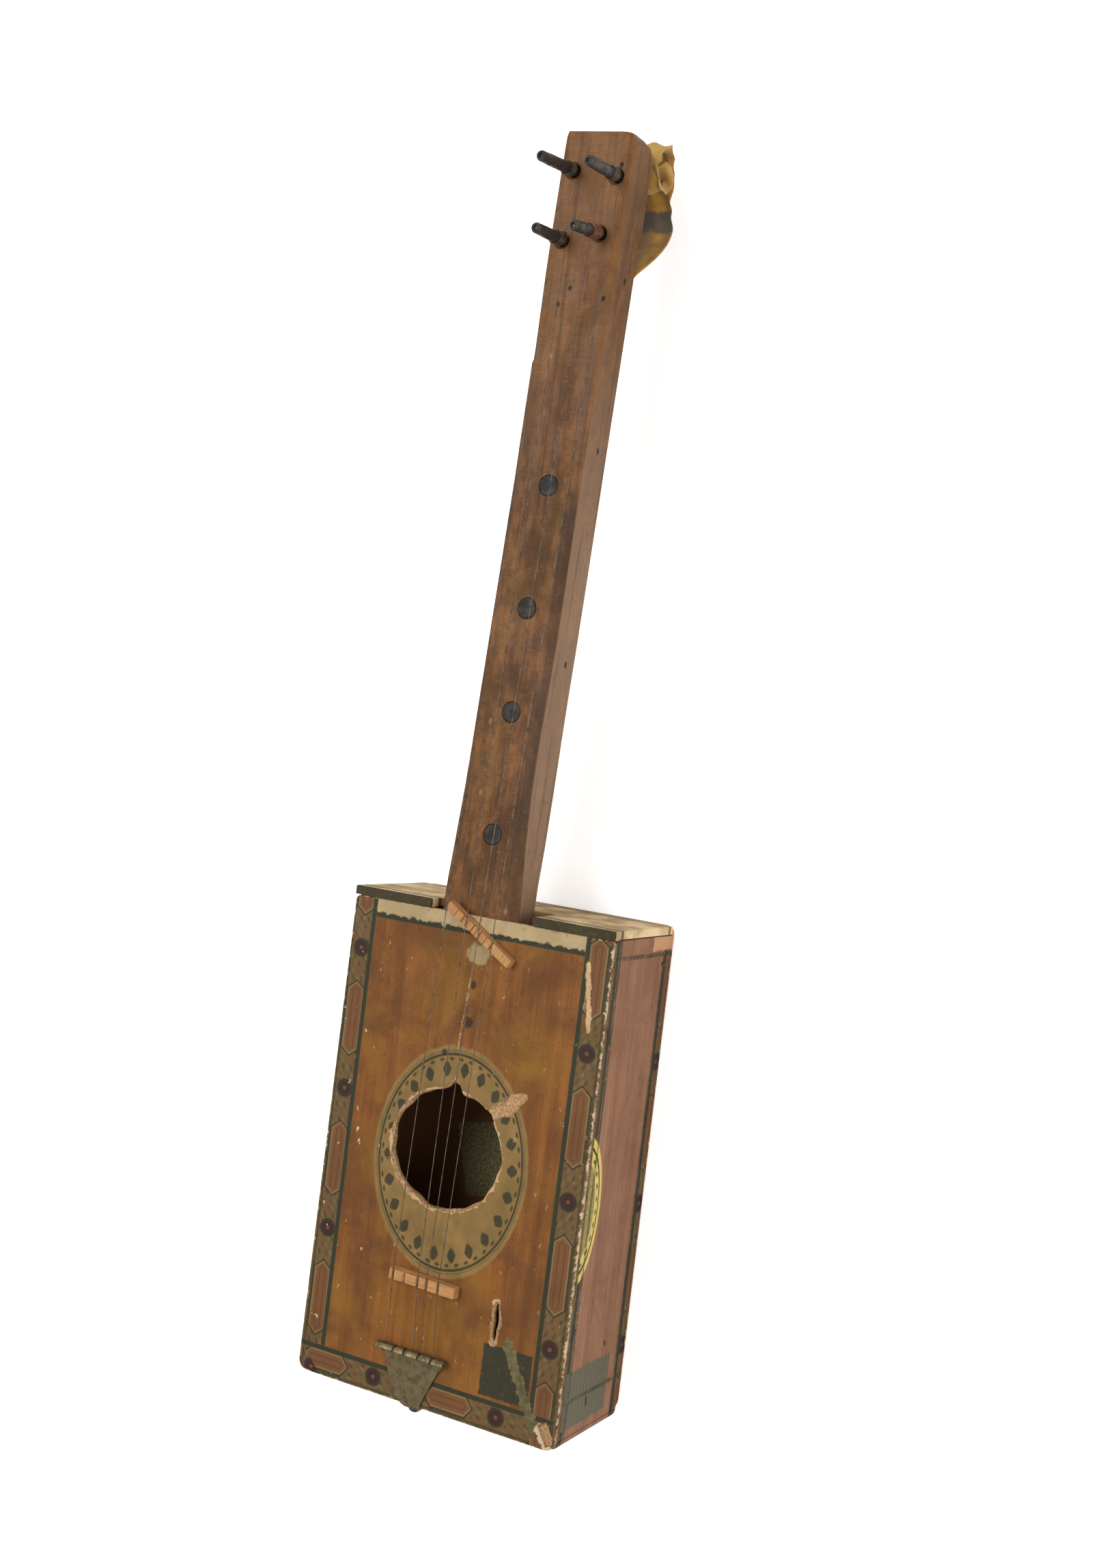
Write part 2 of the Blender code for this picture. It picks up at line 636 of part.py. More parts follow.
def tail_profile():
    """Centre line of the sheet in (y, z): drop, bend, run and rolled edge."""
    half = TAIL_METAL / 2
    fold_y, flat_z = TAIL_Y - GAP - half, TOP_Z + GAP + half
    path = [(fold_y, flat_z - TONGUE_DROP), (fold_y, flat_z - mm(2.0)),
            (fold_y, flat_z - mm(0.9)), (fold_y + mm(0.3), flat_z - mm(0.25)),
            (fold_y + mm(1.0), flat_z)]
    run_end = TAIL_BAR_Y
    for k in range(1, 7):
        path.append((fold_y + (run_end - fold_y) * k / 6, flat_z))
    r = CURL_RADIUS - half
    for k in range(1, 9):
        a = math.radians(-90 + 205 * k / 8)
        path.append((run_end + r * math.cos(a), flat_z + r + r * math.sin(a)))
    return path


def build_tailpiece(mat):
    """Sheet metal tailpiece: folded tongue, concave flare, rolled slotted edge."""
    path = tail_profile()
    half = TAIL_METAL / 2
    rings = []
    for i, (y, z) in enumerate(path):
        before = Vector(path[max(i - 1, 0)])
        after = Vector(path[min(i + 1, len(path) - 1)])
        run = (after - before).normalized()
        normal = Vector((-run.y, run.x)) * half
        if y >= TAIL_BAR_Y - mm(0.5):
            left, right = TAIL_BAR_LEFT, TAIL_BAR_RIGHT
        else:
            left, right = tail_width(y - TAIL_Y)
        ring = [(left, y + normal.x, z + normal.y), (right, y + normal.x, z + normal.y),
                (right, y - normal.x, z - normal.y), (left, y - normal.x, z - normal.y)]
        rings.append(ring)
    plate = add_object("tailpiece", loft(rings), mat)
    for i, x in enumerate(TAIL_SLOTS):
        bm = block((mm(x) - SLOT_WIDTH / 2, mm(x) + SLOT_WIDTH / 2),
                   (TAIL_BAR_Y - mm(1.6), TAIL_BAR_Y + mm(4)), (TOP_Z - mm(1), TOP_Z + mm(7)))
        bmesh.ops.rotate(bm, verts=bm.verts, cent=(mm(x), TAIL_BAR_Y, TOP_Z),
                         matrix=Matrix.Rotation(math.radians((-9, 6, -3, -8)[i]), 3, "Z"))
        cut(plate, cutter(f"cut_slot_{i + 1}", bm))
    bore = [(0, mm(-6)), (mm(0.75), mm(-6)), (mm(0.75), mm(6)), (0, mm(6))]
    for i in (0, 2):
        place = Matrix.Translation((mm(STRING_RUNS[i][1]), TAIL_BAR_Y + mm(5),
                                    TOP_Z + mm(2.6)))
        place = place @ Matrix.Rotation(math.radians(90), 4, "X")
        cut(plate, cutter(f"cut_string_hole_{i + 1}", turned(bore, 12), place))
    bore = [(0, mm(-5)), (mm(1.4), mm(-5)), (mm(1.4), mm(5)), (0, mm(5))]
    place = Matrix.Translation((TAIL_SCREW_X, TAIL_Y, TAIL_SCREW_Z))
    place = place @ Matrix.Rotation(math.radians(90), 4, "X")
    cut(plate, cutter("cut_tongue_hole", turned(bore, 12), place))
    return plate


def build_tail_screw(mat):
    """Round-headed screw through the folded tongue into the tail wall."""
    seat = GAP + TAIL_METAL + GAP
    profile = [(0, mm(-7.5)), (mm(0.4), mm(-7.0)), (mm(0.8), mm(-5.0)), (mm(0.8), seat),
               (mm(3.0), seat), (mm(3.1), seat + mm(0.9)), (mm(2.5), seat + mm(2.1)),
               (mm(1.3), seat + mm(2.8)), (0, seat + mm(3.0))]
    bm = turned(profile, 16)
    place = Matrix.Rotation(math.radians(90), 4, "X")
    bmesh.ops.transform(bm, matrix=place, verts=bm.verts)
    bmesh.ops.translate(bm, verts=bm.verts, vec=(TAIL_SCREW_X, TAIL_Y, TAIL_SCREW_Z))
    screw = add_object("tailpiece_screw", bm, mat, smooth=True)
    head = TAIL_Y - seat - mm(2.1)
    bm = block((mm(-4), mm(4)), (head - mm(2), head), (mm(-0.35), mm(0.35)))
    bmesh.ops.translate(bm, verts=bm.verts, vec=(TAIL_SCREW_X, 0.0, TAIL_SCREW_Z))
    cut(screw, cutter("cut_screw_slot", bm))
    return screw


# ribbon

def smooth_path(nodes, count):
    """Evenly spaced points on a smooth curve through nodes."""
    fine = []
    for i in range(len(nodes) - 1):
        p0 = Vector(nodes[max(i - 1, 0)])
        p1, p2 = Vector(nodes[i]), Vector(nodes[i + 1])
        p3 = Vector(nodes[min(i + 2, len(nodes) - 1)])
        for k in range(24):
            t = k / 24
            a = 2 * p1 + (p2 - p0) * t
            b = (2 * p0 - 5 * p1 + 4 * p2 - p3) * t * t
            c = (3 * p1 - p0 - 3 * p2 + p3) * t ** 3
            fine.append((a + b + c) / 2)
    fine.append(Vector(nodes[-1]))
    lengths = [0.0]
    for a, b in zip(fine, fine[1:]):
        lengths.append(lengths[-1] + (b - a).length)
    picked, j = [], 0
    for k in range(count):
        want = lengths[-1] * k / (count - 1)
        while j < len(lengths) - 2 and lengths[j + 1] < want:
            j += 1
        span = lengths[j + 1] - lengths[j]
        t = 0.0 if span == 0 else (want - lengths[j]) / span
        picked.append(fine[j].lerp(fine[j + 1], t))
    return picked, lengths[-1]


def build_ribbon(mat):
    """Ribbon tacked behind the headstock: a taut strip and a crumpled roll.

    The nodes are (y, z) in millimetres, z measured back from the neck.
    """
    nodes = [(394.0, 1.3), (402.5, 1.3), (408.0, 4.4), (417.0, 10.5), (427.0, 16.5),
             (437.0, 21.5), (447.0, 24.2), (457.0, 22.5), (464.0, 16.0), (462.5, 7.0),
             (452.5, 4.0), (445.5, 7.2), (444.0, 13.0), (448.5, 17.6), (455.0, 15.8),
             (456.5, 11.0)]
    centre, length = smooth_path(nodes, RIBBON_ALONG)
    half = RIBBON_THICK / 2
    front, rear = [], []
    for i, point in enumerate(centre):
        s = i / (RIBBON_ALONG - 1)
        before, after = centre[max(i - 1, 0)], centre[min(i + 1, RIBBON_ALONG - 1)]
        run = (after - before).normalized()
        normal = Vector((-run.y, run.x))
        spread = min(1.0, s / 0.3)
        swing = mm(5.5) * math.sin(math.pi * min(1.0, s / 0.35))
        x_mid = mm(11.5) + swing + mm(1.8) * spread + mm(1.2) * math.sin(9 * s)
        width = mm(13.0) + mm(17.0) * spread
        ring_front, ring_rear = [], []
        for k in range(RIBBON_ACROSS + 1):
            u = k / RIBBON_ACROSS - 0.5
            crumple = min(1.0, max(0.0, (s - 0.05) / 0.3))
            fold = math.sin(5.0 * math.pi * u + 6.0 * s)
            fold += 0.35 * math.sin(11.0 * u - 14.0 * s)
            lift = RIBBON_FOLD * 0.62 * crumple * fold
            y = mm(point.x) + normal.x * lift
            z = NECK_BACK - mm(point.y) - normal.y * lift
            x = x_mid + width * u * (1.0 - 0.05 * math.sin(17 * s))
            offset = Vector((0.0, normal.x, -normal.y)) * half
            ring_front.append(Vector((x, y, z)) + offset)
            ring_rear.append(Vector((x, y, z)) - offset)
        front.append(ring_front)
        rear.append(ring_rear)
    rings = [a + list(reversed(b)) for a, b in zip(front, rear)]
    ribbon = add_object("ribbon", loft(rings), mat, smooth=True)
    bm = turned([(0, mm(-4)), (mm(1.1), mm(-4)), (mm(1.1), mm(4)), (0, mm(4))], 10)
    cut(ribbon, cutter("cut_ribbon", bm, Matrix.Translation((TACK_X, TACK_Y, NECK_BACK))))
    print(f"ribbon: {length:.0f} mm long, up to 30 mm wide")
    return ribbon


def build_tack(mat):
    """Dome-headed tack that holds the ribbon to the back of the neck."""
    seat = -mm(2.3)
    profile = [(0, seat - mm(1.1)), (mm(1.6), seat - mm(0.9)), (mm(2.7), seat - mm(0.2)),
               (mm(2.7), seat), (mm(0.7), seat), (mm(0.7), mm(5.2)), (0, mm(6.8))]
    bm = turned(profile, 14)
    bmesh.ops.translate(bm, verts=bm.verts, vec=(TACK_X, TACK_Y, NECK_BACK))
    return add_object("ribbon_tack", bm, mat, smooth=True)


def main():
    """Build the whole instrument."""
    clear_scene()
    board = material("soundboard_wood", (0.27, 0.11, 0.035), 0.55)
    case = material("case_wood", (0.24, 0.095, 0.06), 0.62)
    paper = material("papered_end", (0.55, 0.43, 0.26), 0.7)
    plank = material("neck_wood", (0.15, 0.062, 0.034), 0.5)
    raw = material("raw_stick_wood", (0.48, 0.25, 0.12), 0.6)
    dark = material("dark_inlay", (0.03, 0.028, 0.026), 0.55)
    steel = material("blued_steel", (0.055, 0.057, 0.065), 0.42, 0.8)
    plain = material("string_wire", (0.30, 0.27, 0.24), 0.38, 1.0)
    copper = material("copper_wire", (0.40, 0.19, 0.11), 0.4, 1.0)
    brass = material("aged_brass", (0.19, 0.165, 0.10), 0.5, 0.85)
    gold = material("gold_ribbon", (0.50, 0.30, 0.07), 0.6)
    build_back(case)
    build_sides(case)
    build_tail_end(case)
    build_neck_end(paper)
    build_soundboard(board)
    build_neck(plank)
    build_dots(dark)
    build_strings(steel, copper, plain)
    build_bridge(raw)
    build_nut(raw)
    build_tailpiece(brass)
    build_tail_screw(steel)
    build_ribbon(gold)
    build_tack(steel)


main()
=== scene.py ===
"""Looks of the cigar box banjo: finishes, nails, strings, ribbon, stage, light and camera.

The part lies in the frame of its CAD model: X across, Y along the neck, Z out of the
soundboard. Finishes measure in millimetres of that frame, everything else in metres.
"""
from __future__ import annotations

import json
import logging
import math
from dataclasses import dataclass
from enum import Enum

import bmesh
import bpy
from mathutils import Euler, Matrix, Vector, noise

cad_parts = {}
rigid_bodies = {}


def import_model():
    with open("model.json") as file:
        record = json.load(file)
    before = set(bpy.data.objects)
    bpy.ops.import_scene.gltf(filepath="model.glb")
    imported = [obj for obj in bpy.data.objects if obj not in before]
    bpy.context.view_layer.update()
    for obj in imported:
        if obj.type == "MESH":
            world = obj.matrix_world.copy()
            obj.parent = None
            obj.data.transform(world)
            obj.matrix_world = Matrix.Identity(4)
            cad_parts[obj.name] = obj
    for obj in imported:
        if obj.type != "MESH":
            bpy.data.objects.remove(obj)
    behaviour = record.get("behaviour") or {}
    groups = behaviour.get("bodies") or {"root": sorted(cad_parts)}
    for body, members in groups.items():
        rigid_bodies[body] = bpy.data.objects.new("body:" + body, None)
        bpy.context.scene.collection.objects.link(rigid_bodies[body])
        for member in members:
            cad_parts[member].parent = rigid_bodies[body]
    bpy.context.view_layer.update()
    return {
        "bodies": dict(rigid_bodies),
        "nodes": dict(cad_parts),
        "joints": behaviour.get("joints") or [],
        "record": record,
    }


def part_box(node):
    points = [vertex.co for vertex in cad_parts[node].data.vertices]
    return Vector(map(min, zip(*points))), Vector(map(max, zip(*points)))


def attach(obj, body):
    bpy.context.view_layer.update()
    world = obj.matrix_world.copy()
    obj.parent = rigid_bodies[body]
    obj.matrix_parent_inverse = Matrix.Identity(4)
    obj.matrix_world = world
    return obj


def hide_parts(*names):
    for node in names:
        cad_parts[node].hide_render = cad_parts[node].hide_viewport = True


LOG = logging.getLogger("banjo")
Colour = tuple[float, float, float]
Pair = tuple[float, float]
Line = tuple[Pair, Pair]
TOP_MM = 62.8
HALF_LENGTH_MM = 114.5
MM_PER_M = 1000.0
MIX_SHARE, MIX_FIRST, MIX_SECOND, MIX_COLOUR = 0, 6, 7, 2


class Axis(Enum):
    """Way in which wood grain runs, in degrees from the neck."""

    ACROSS = 90.0
    ASLANT = -31.7


class Field:
    """A value that varies over a surface: a node socket with arithmetic."""

    def __init__(self, graph: "Graph", socket: bpy.types.NodeSocket) -> None:
        """Keep the socket.

        Args:
            graph: The graph that the socket belongs to.
            socket: An output socket.
        """
        self.graph = graph
        self.socket = socket

    def __add__(self, other: "Field | float") -> "Field":
        """Sum."""
        return self.graph.math("ADD", self, other)

    __radd__ = __add__

    def __sub__(self, other: "Field | float") -> "Field":
        """Difference."""
        return self.graph.math("SUBTRACT", self, other)

    def __rsub__(self, other: "Field | float") -> "Field":
        """Difference the other way round."""
        return self.graph.math("SUBTRACT", other, self)

    def __mul__(self, other: "Field | float") -> "Field":
        """Product."""
        return self.graph.math("MULTIPLY", self, other)

    __rmul__ = __mul__

    def __truediv__(self, other: "Field | float") -> "Field":
        """Quotient."""
        return self.graph.math("DIVIDE", self, other)

    def __abs__(self) -> "Field":
        """Size without sign."""
        return self.graph.math("ABSOLUTE", self)

    def most(self, other: "Field | float") -> "Field":
        """The larger of two values."""
        return self.graph.math("MAXIMUM", self, other)

    def least(self, other: "Field | float") -> "Field":
        """The smaller of two values."""
        return self.graph.math("MINIMUM", self, other)

    def wrapped(self, period: float) -> "Field":
        """Offset from the nearest whole number of periods."""
        return self.graph.math("WRAP", self, period / 2, -period / 2)

    def below(self, edge: float, soft: float = 0.4) -> "Field":
        """Mask of where the value is under an edge.

        Args:
            edge: The value at which the mask is one half.
            soft: Half the width of the change.

        Returns:
            A field from 1, well below the edge, to 0.
        """
        return self.graph.ramp(self, edge - soft, edge + soft, 1.0, 0.0)

    def above(self, edge: float, soft: float = 0.4) -> "Field":
        """Mask of where the value is over an edge, soft as in below."""
        return self.graph.ramp(self, edge - soft, edge + soft, 0.0, 1.0)


class Graph:
    """Writes shader nodes from plain expressions."""

    def __init__(self, tree: bpy.types.NodeTree) -> None:
        """Keep the node tree that is written into."""
        self.tree = tree

    def node(self, kind: str, **settings: object) -> bpy.types.Node:
        """Add a node and set its properties.

        Args:
            kind: Blender's name of the node's type.
            **settings: Properties of the node.

        Returns:
            The new node.
        """
        made = self.tree.nodes.new(kind)
        for name, value in settings.items():
            setattr(made, name, value)
        return made

    def put(self, socket: bpy.types.NodeSocket, value: object) -> None:
        """Link a field to an input, or set the input's own value.

        Args:
            socket: The input.
            value: A field, a colour or a number.
        """
        if isinstance(value, Field):
            self.tree.links.new(value.socket, socket)
        elif isinstance(value, tuple) and len(value) == 3 and socket.type == "RGBA":
            socket.default_value = (*value, 1.0)
        else:
            socket.default_value = value

    def math(self, operation: str, *terms: "Field | float") -> Field:
        """One Math node on up to three terms.

        Args:
            operation: Blender's name of the operation.
            *terms: Fields or numbers.

        Returns:
            The result.
        """
        made = self.node("ShaderNodeMath", operation=operation)
        for socket, term in zip(made.inputs, terms):
            self.put(socket, term)
        return Field(self, made.outputs[0])

    def ramp(self, value: Field, low: float, high: float, start: float,
             end: float) -> Field:
        """Smooth change between two values.

        Args:
            value: What is followed.
            low: Where the change starts.
            high: Where it ends.
            start: The result up to low.
            end: The result from high on.

        Returns:
            The changed value.
        """
        made = self.node("ShaderNodeMapRange", interpolation_type="SMOOTHSTEP")
        for socket, term in zip(made.inputs, (value, low, high, start, end)):
            self.put(socket, term)
        return Field(self, made.outputs[0])

    def mix(self, share: "Field | float", first: "Field | Colour",
            second: "Field | Colour") -> Field:
        """Blend two colours.

        Args:
            share: How much of the second, from 0 to 1.
            first: The colour underneath.
            second: The colour on top.

        Returns:
            The blended colour.
        """
        made = self.node("ShaderNodeMix", data_type="RGBA")
        self.put(made.inputs[MIX_SHARE], share)
        self.put(made.inputs[MIX_FIRST], first)
        self.put(made.inputs[MIX_SECOND], second)
        return Field(self, made.outputs[MIX_COLOUR])

    def noise(self, vector: Field, scale: float, detail: float = 4.0,
              rough: float = 0.55, twist: float = 0.0) -> Field:
        """Noise from about 0.2 to 0.8.

        Args:
            vector: Where it is read.
            scale: Features per millimetre.
            detail: Octaves of finer noise.
            rough: Strength of each finer octave.
            twist: Distortion.

        Returns:
            The noise.
        """
        made = self.node("ShaderNodeTexNoise")
        self.put(made.inputs["Vector"], vector)
        made.inputs["Scale"].default_value = scale
        made.inputs["Detail"].default_value = detail
        made.inputs["Roughness"].default_value = rough
        made.inputs["Distortion"].default_value = twist
        return Field(self, made.outputs[0])

    def cells(self, vector: Field, scale: float) -> Field:
        """Distance to the nearest of scattered points, in cells.

        Args:
            vector: Where it is read.
            scale: Cells per millimetre.

        Returns:
            The distance.
        """
        made = self.node("ShaderNodeTexVoronoi")
        self.put(made.inputs["Vector"], vector)
        made.inputs["Scale"].default_value = scale
        return Field(self, made.outputs[0])

    def stretched(self, vector: Field, scale: Colour, turn: float = 0.0) -> Field:
        """The place scaled along each axis and turned about Z.

        Args:
            vector: The place.
            scale: Scale along x, y and z.
            turn: The turn in degrees.

        Returns:
            The changed place.
        """
        made = self.node("ShaderNodeMapping")
        self.put(made.inputs["Vector"], vector)
        made.inputs["Rotation"].default_value = (0.0, 0.0, math.radians(turn))
        made.inputs["Scale"].default_value = scale
        return Field(self, made.outputs[0])

    def place(self) -> tuple[Field, Field, Field, Field]:
        """Object coordinates in millimetres.

        Returns:
            x, y, z and the vector itself.
        """
        source = self.node("ShaderNodeTexCoord")
        scaled = self.node("ShaderNodeVectorMath", operation="SCALE")
        self.tree.links.new(source.outputs["Object"], scaled.inputs[0])
        scaled.inputs["Scale"].default_value = MM_PER_M
        split = self.node("ShaderNodeSeparateXYZ")
        self.tree.links.new(scaled.outputs[0], split.inputs[0])
        x, y, z = (Field(self, socket) for socket in split.outputs)
        return x, y, z, Field(self, scaled.outputs[0])

    def ellipse(self, x: Field, y: Field, centre: Pair, radii: Pair) -> Field:
        """Distance from an ellipse's centre, 1 on its outline.

        Args:
            x: First coordinate.
            y: Second coordinate.
            centre: The ellipse's centre.
            radii: Its radii.

        Returns:
            The distance.
        """
        dx = (x - centre[0]) / radii[0]
        dy = (y - centre[1]) / radii[1]
        return self.math("SQRT", dx * dx + dy * dy)

    def capsule(self, x: Field, y: Field, start: Pair, end: Pair) -> Field:
        """Distance in millimetres from a straight line between two points.

        Args:
            x: First coordinate.
            y: Second coordinate.
            start: The line's start.
            end: Its end.

        Returns:
            The distance.
        """
        run = Vector((end[0] - start[0], end[1] - start[1]))
        long = run.length
        along = (x - start[0]) * (run.x / long) + (y - start[1]) * (run.y / long)
        across = (y - start[1]) * (run.x / long) - (x - start[0]) * (run.y / long)
        over = abs(along - long / 2).most(long / 2) - long / 2
        return self.math("SQRT", across * across + over * over)

    def patches(self, x: Field, y: Field) -> Field:
        """A slow change over a flat face, from 0 to 1.

        Args:
            x: First coordinate.
            y: Second coordinate.

        Returns:
            The share.
        """
        joined = self.node("ShaderNodeCombineXYZ")
        self.put(joined.inputs[0], x)
        self.put(joined.inputs[1], y)
        cloud = self.noise(Field(self, joined.outputs[0]), 0.09, 5.0)
        return self.ramp(cloud, 0.35, 0.65, 0.0, 1.0)

    def use(self, group: bpy.types.NodeTree, **inputs: object) -> dict[str, Field]:
        """Place a shared effect and feed it.

        Args:
            group: The effect's node group.
            **inputs: A value for each of its inputs.

        Returns:
            Its outputs by name.
        """
        made = self.node("ShaderNodeGroup", node_tree=group)
        for name, value in inputs.items():
            self.put(made.inputs[name], value)
        return {socket.name: Field(self, socket) for socket in made.outputs}


class Effects:
    """The shared shader node groups, each built once."""

    def __init__(self) -> None:
        """Build the groups."""
        self.grain = self._grain()
        self.grime = self._grime()
        self.tarnish = self._tarnish()

    @staticmethod
    def _start(name: str, inputs: dict[str, str],
               outputs: dict[str, str]) -> tuple[bpy.types.NodeTree, Graph,
                                                 dict[str, Field], bpy.types.Node]:
        """Make an empty group with named sockets.

        Args:
            name: The group's name.
            inputs: Socket names and types that go in.
            outputs: Socket names and types that come out.

        Returns:
            The tree, its graph, its input fields and its output node.
        """
        tree = bpy.data.node_groups.new(name, "ShaderNodeTree")
        for label, kind in inputs.items():
            tree.interface.new_socket(label, in_out="INPUT", socket_type=kind)
        for label, kind in outputs.items():
            tree.interface.new_socket(label, in_out="OUTPUT", socket_type=kind)
        graph = Graph(tree)
        source = graph.node("NodeGroupInput")
        fields = {s.name: Field(graph, s) for s in source.outputs if s.name}
        return tree, graph, fields, graph.node("NodeGroupOutput")

    def _grain(self) -> bpy.types.NodeTree:
        """Wood grain along Y: colour between two tones, and a height.

        Returns:
            The group.
        """
        tree, g, given, out = self._start(
            "wood_grain", {"Place": "NodeSocketVector", "Light": "NodeSocketColor",
                           "Dark": "NodeSocketColor"},
            {"Colour": "NodeSocketColor", "Height": "NodeSocketFloat"})
        broad = g.noise(g.stretched(given["Place"], (1.0, 0.05, 1.0)), 0.11, 5.0, 0.6, 0.6)
        fine = g.noise(g.stretched(given["Place"], (1.0, 0.03, 1.0)), 1.1, 4.0, 0.6)
        pores = g.noise(g.stretched(given["Place"], (1.0, 0.08, 1.0)), 3.2, 2.0, 0.5)
        tone = broad * 0.55 + fine * 0.35 + pores * 0.1
        share = g.ramp(tone, 0.36, 0.64, 0.0, 1.0)
        colour = g.mix(share, given["Dark"], given["Light"])
        dark_pores = pores.below(0.40, 0.05) * 0.35
        colour = g.mix(dark_pores, colour, given["Dark"])
        g.put(out.inputs["Colour"], colour)
        g.put(out.inputs["Height"], fine * 0.6 + pores * 0.4)
        return tree

    def _grime(self) -> bpy.types.NodeTree:
        """Handling dirt: a soft cloud, small dark specks and pale flecks.

        Returns:
            The group.
        """
        tree, g, given, out = self._start(
            "grime", {"Place": "NodeSocketVector"},
            {"Cloud": "NodeSocketFloat", "Speck": "NodeSocketFloat",
             "Fleck": "NodeSocketFloat"})
        cloud = g.noise(given["Place"], 0.035, 6.0, 0.62, 0.4)
        speck = g.noise(given["Place"], 0.55, 3.0, 0.6)
        fleck = g.noise(g.stretched(given["Place"], (1.0, 0.55, 1.0)), 0.42, 2.0, 0.4)
        g.put(out.inputs["Cloud"], g.ramp(cloud, 0.38, 0.68, 0.0, 1.0))
        g.put(out.inputs["Speck"], speck.above(0.67, 0.03))
        g.put(out.inputs["Fleck"], fleck.above(0.735, 0.012))
        return tree

    def _tarnish(self) -> bpy.types.NodeTree:
        """Old metal: a cloudy mask and a fine pitted height.

        Returns:
            The group.
        """
        tree, g, given, out = self._start(
            "tarnish", {"Place": "NodeSocketVector"},
            {"Cloud": "NodeSocketFloat", "Pits": "NodeSocketFloat"})
        cloud = g.noise(given["Place"], 0.28, 6.0, 0.65, 0.5)
        g.put(out.inputs["Cloud"], g.ramp(cloud, 0.36, 0.66, 0.0, 1.0))
        g.put(out.inputs["Pits"], g.noise(given["Place"], 2.4, 4.0, 0.6))
        return tree


@dataclass
class Surface:
    """What a finish paints: fields or plain values for the shader."""

    colour: Field | Colour
    roughness: Field | float = 0.6
    metallic: float = 0.0
    height: Field | None = None
    relief_mm: float = 0.1
    relief_strength: float = 0.8
    sheen: float = 0.0
    specular: float = 0.16


@dataclass(frozen=True)
class Finish:
    """A finish: its name, and a material built from what paint returns."""

    name: str

    def paint(self, g: Graph, fx: Effects) -> Surface:
        """Write the finish's nodes; each finish has its own."""
        raise NotImplementedError

    def build(self, fx: Effects) -> bpy.types.Material:
        """Make the material.

        Args:
            fx: The shared effects.

        Returns:
            A material with its nodes linked.
        """
        mat = bpy.data.materials.new(self.name)
        mat.use_nodes = True
        shader = mat.node_tree.nodes["Principled BSDF"]
        g = Graph(mat.node_tree)
        look = self.paint(g, fx)
        g.put(shader.inputs["Base Color"], look.colour)
        g.put(shader.inputs["Roughness"], look.roughness)
        shader.inputs["Metallic"].default_value = look.metallic
        shader.inputs["Sheen Weight"].default_value = look.sheen
        shader.inputs["Specular IOR Level"].default_value = look.specular
        if look.height is not None:
            bump = g.node("ShaderNodeBump")
            bump.inputs["Distance"].default_value = look.relief_mm / MM_PER_M
            bump.inputs["Strength"].default_value = look.relief_strength
            g.put(bump.inputs["Height"], look.height)
            mat.node_tree.links.new(bump.outputs[0], shader.inputs["Normal"])
        return mat


@dataclass(frozen=True)
class Spot:
    """A point of a surface in millimetres, and how ragged marks are there."""

    x: Field
    y: Field
    z: Field
    place: Field
    wobble: Field
    fuzz: Field

    @classmethod
    def on(cls, g: Graph) -> "Spot":
        """Read the place; wobble is coarse and fuzz fine, both about 0.

        Args:
            g: The graph of a finish.

        Returns:
            The spot.
        """
        x, y, z, place = g.place()
        wobble = (g.noise(place, 0.30, 4.0, 0.6) - 0.5) * 2.0
        fuzz = (g.noise(place, 0.9, 4.0, 0.65) - 0.5) * 2.0
        return cls(x, y, z, place, wobble, fuzz)


